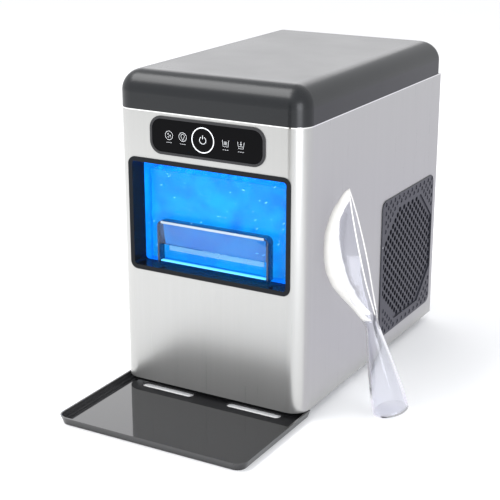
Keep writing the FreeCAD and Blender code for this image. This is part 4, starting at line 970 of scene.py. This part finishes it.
class ICEMAKER_OT_panel_marks(bpy.types.Operator):
    """Prints the touch panel's ring and signs"""

    bl_idname = "icemaker.panel_marks"
    bl_label = "Panel marks"

    def execute(self, context):
        low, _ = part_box("control_glass")
        plane = low.y - 0.00004
        level, middle = 337.0, -5.0
        # The printed ring and signs glow with painted light.
        ink = glowing("painted_glow_print", (0.80, 0.82, 0.84), strength=0.55, drift=0.05)
        ring = strokes("touch_ring", [(arc(middle, level, 15.0, steps=96), True)], 1.25, plane)
        finished(ring, "housing", ink)

        bow = arc(middle, level, 4.4, 120.0, 420.0)
        bar = [(middle, level + 1.5), (middle, level + 6.0)]
        power = strokes("power_sign", [(bow, False), (bar, False)], 0.55, plane)
        finished(power, "housing", ink)

        marks, shrink = [], 0.84
        signs = {-52.36: self.frost(), -33.04: self.bulb(), 26.3: self.full_tub(), 47.0: self.empty_tub()}
        for spot, sign in signs.items():
            for points, closed in sign + self.dashes():
                marks.append(([(spot + x * shrink, level + z * shrink) for x, z in points], closed))
        finished(strokes("panel_signs", marks, 0.36, plane), "housing", ink)
        return {"FINISHED"}

    @staticmethod
    def frost():
        """Three flakes in a ring."""
        lines = [(arc(0.0, 1.0, 6.3), True)]
        for across, height, size in ((-1.5, 3.0, 1.3), (1.8, 0.5, 2.0), (-1.3, -1.4, 1.0)):
            lines.append(([(across, height - size), (across, height + size)], False))
            lines.append(([(across - size * 0.7, height), (across + size * 0.7, height)], False))
        return lines

    @staticmethod
    def bulb():
        """A lamp in a ring."""
        neck = [(-1.7, -0.4), (-1.0, -2.4), (1.0, -2.4), (1.7, -0.4)]
        return [
            (arc(0.0, 1.0, 6.3), True),
            (arc(0.0, 2.2, 2.8, -50.0, 230.0), False),
            (neck, False),
            ([(-1.0, -3.6), (1.0, -3.6)], False),
        ]

    @staticmethod
    def tub():
        return [([(-5.2, 4.6), (-4.0, -4.6), (4.0, -4.6), (5.2, 4.6)], False)]

    def full_tub(self):
        """A tub with three bars of ice."""
        return self.tub() + [([(shift, -2.4), (shift, 2.6)], False) for shift in (-2.0, 0.0, 2.0)]

    def empty_tub(self):
        """A tub with an arrow down to a low level."""
        arrow = [([(0.0, 5.2), (0.0, 0.4)], False), ([(-1.6, 1.8), (0.0, 0.2), (1.6, 1.8)], False)]
        return self.tub() + arrow + [([(-3.4, -1.8), (3.4, -1.8)], False)]

    @staticmethod
    def dashes():
        """The row of short strokes under a sign."""
        return [([(shift - 1.1, -9.3), (shift + 1.1, -9.3)], False) for shift in (-3.4, 0.0, 3.4)]


class ICEMAKER_OT_seam(bpy.types.Operator):
    """Adds the bright bead along the casing's top edge, under the cover"""

    bl_idname = "icemaker.seam"
    bl_label = "Seam bead"

    def execute(self, context):
        low, high = (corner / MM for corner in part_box("stainless_wrap"))
        proud, corner, width = 0.12, 22.0, 1.2
        bead_low = (low.x - proud, low.y - proud, high.z - 1.3)
        bead = block("seam_bead", bead_low, (high.x + proud, high.y - 1.0, high.z - 0.1))
        rounded_edges(bead, lambda m, way: abs(way.z) > 0.9 and m.y < 0.0, corner, 12)
        pick(bead, "FACE", lambda m, way: abs(way.z) > 0.9)
        bpy.ops.mesh.inset(thickness=width * MM)
        bpy.ops.mesh.delete(type="FACE")
        bpy.ops.mesh.select_mode(type="EDGE")
        mesh = bmesh.from_edit_mesh(bead.data)
        for edge in mesh.edges:
            edge.select_set(edge.is_boundary)
        bmesh.update_edit_mesh(bead.data)
        bpy.ops.mesh.bridge_edge_loops()
        bpy.ops.mesh.select_all(action="SELECT")
        bpy.ops.mesh.normals_make_consistent(inside=False)
        object_mode()
        lengthways = (900.0, 900.0, 60.0)
        shine = brushed("polished_bead", (0.90, 0.90, 0.88), 0.12, lengthways, depth=0.000004, drift=0.02)
        finished(bead, "housing", shine)
        return {"FINISHED"}


class ICEMAKER_PT_panel(bpy.types.Panel):
    """Lists the steps that build the ice maker's looks"""

    bl_idname = "ICEMAKER_PT_panel"
    bl_label = "Ice Maker"
    bl_space_type = "VIEW_3D"
    bl_region_type = "UI"
    bl_category = "Ice Maker"

    def draw(self, context):
        layout = self.layout
        for step in STEPS:
            layout.operator(step.bl_idname)
        for group in (context.scene.icemaker_looks, context.scene.icemaker_view):
            for name in group.__annotations__:
                layout.prop(group, name)


STEPS = (
    ICEMAKER_OT_stage,
    ICEMAKER_OT_finishes,
    ICEMAKER_OT_ice,
    ICEMAKER_OT_pull,
    ICEMAKER_OT_scoop,
    ICEMAKER_OT_panel_marks,
    ICEMAKER_OT_seam,
)
GROUPS = (IceMakerLooks, IceMakerView)


def register():
    for kind in (*GROUPS, *STEPS, ICEMAKER_PT_panel):
        bpy.utils.register_class(kind)
    bpy.types.Scene.icemaker_looks = PointerProperty(type=IceMakerLooks)
    bpy.types.Scene.icemaker_view = PointerProperty(type=IceMakerView)


def unregister():
    del bpy.types.Scene.icemaker_view
    del bpy.types.Scene.icemaker_looks
    for kind in reversed((*GROUPS, *STEPS, ICEMAKER_PT_panel)):
        bpy.utils.unregister_class(kind)


def main():
    register()
    bpy.ops.icemaker.stage()
    bpy.ops.icemaker.finishes()
    bpy.ops.icemaker.ice()
    bpy.ops.icemaker.pull()
    bpy.ops.icemaker.scoop()
    bpy.ops.icemaker.panel_marks()
    bpy.ops.icemaker.seam()
    clear_selection()


if __name__ == "__main__":
    main()
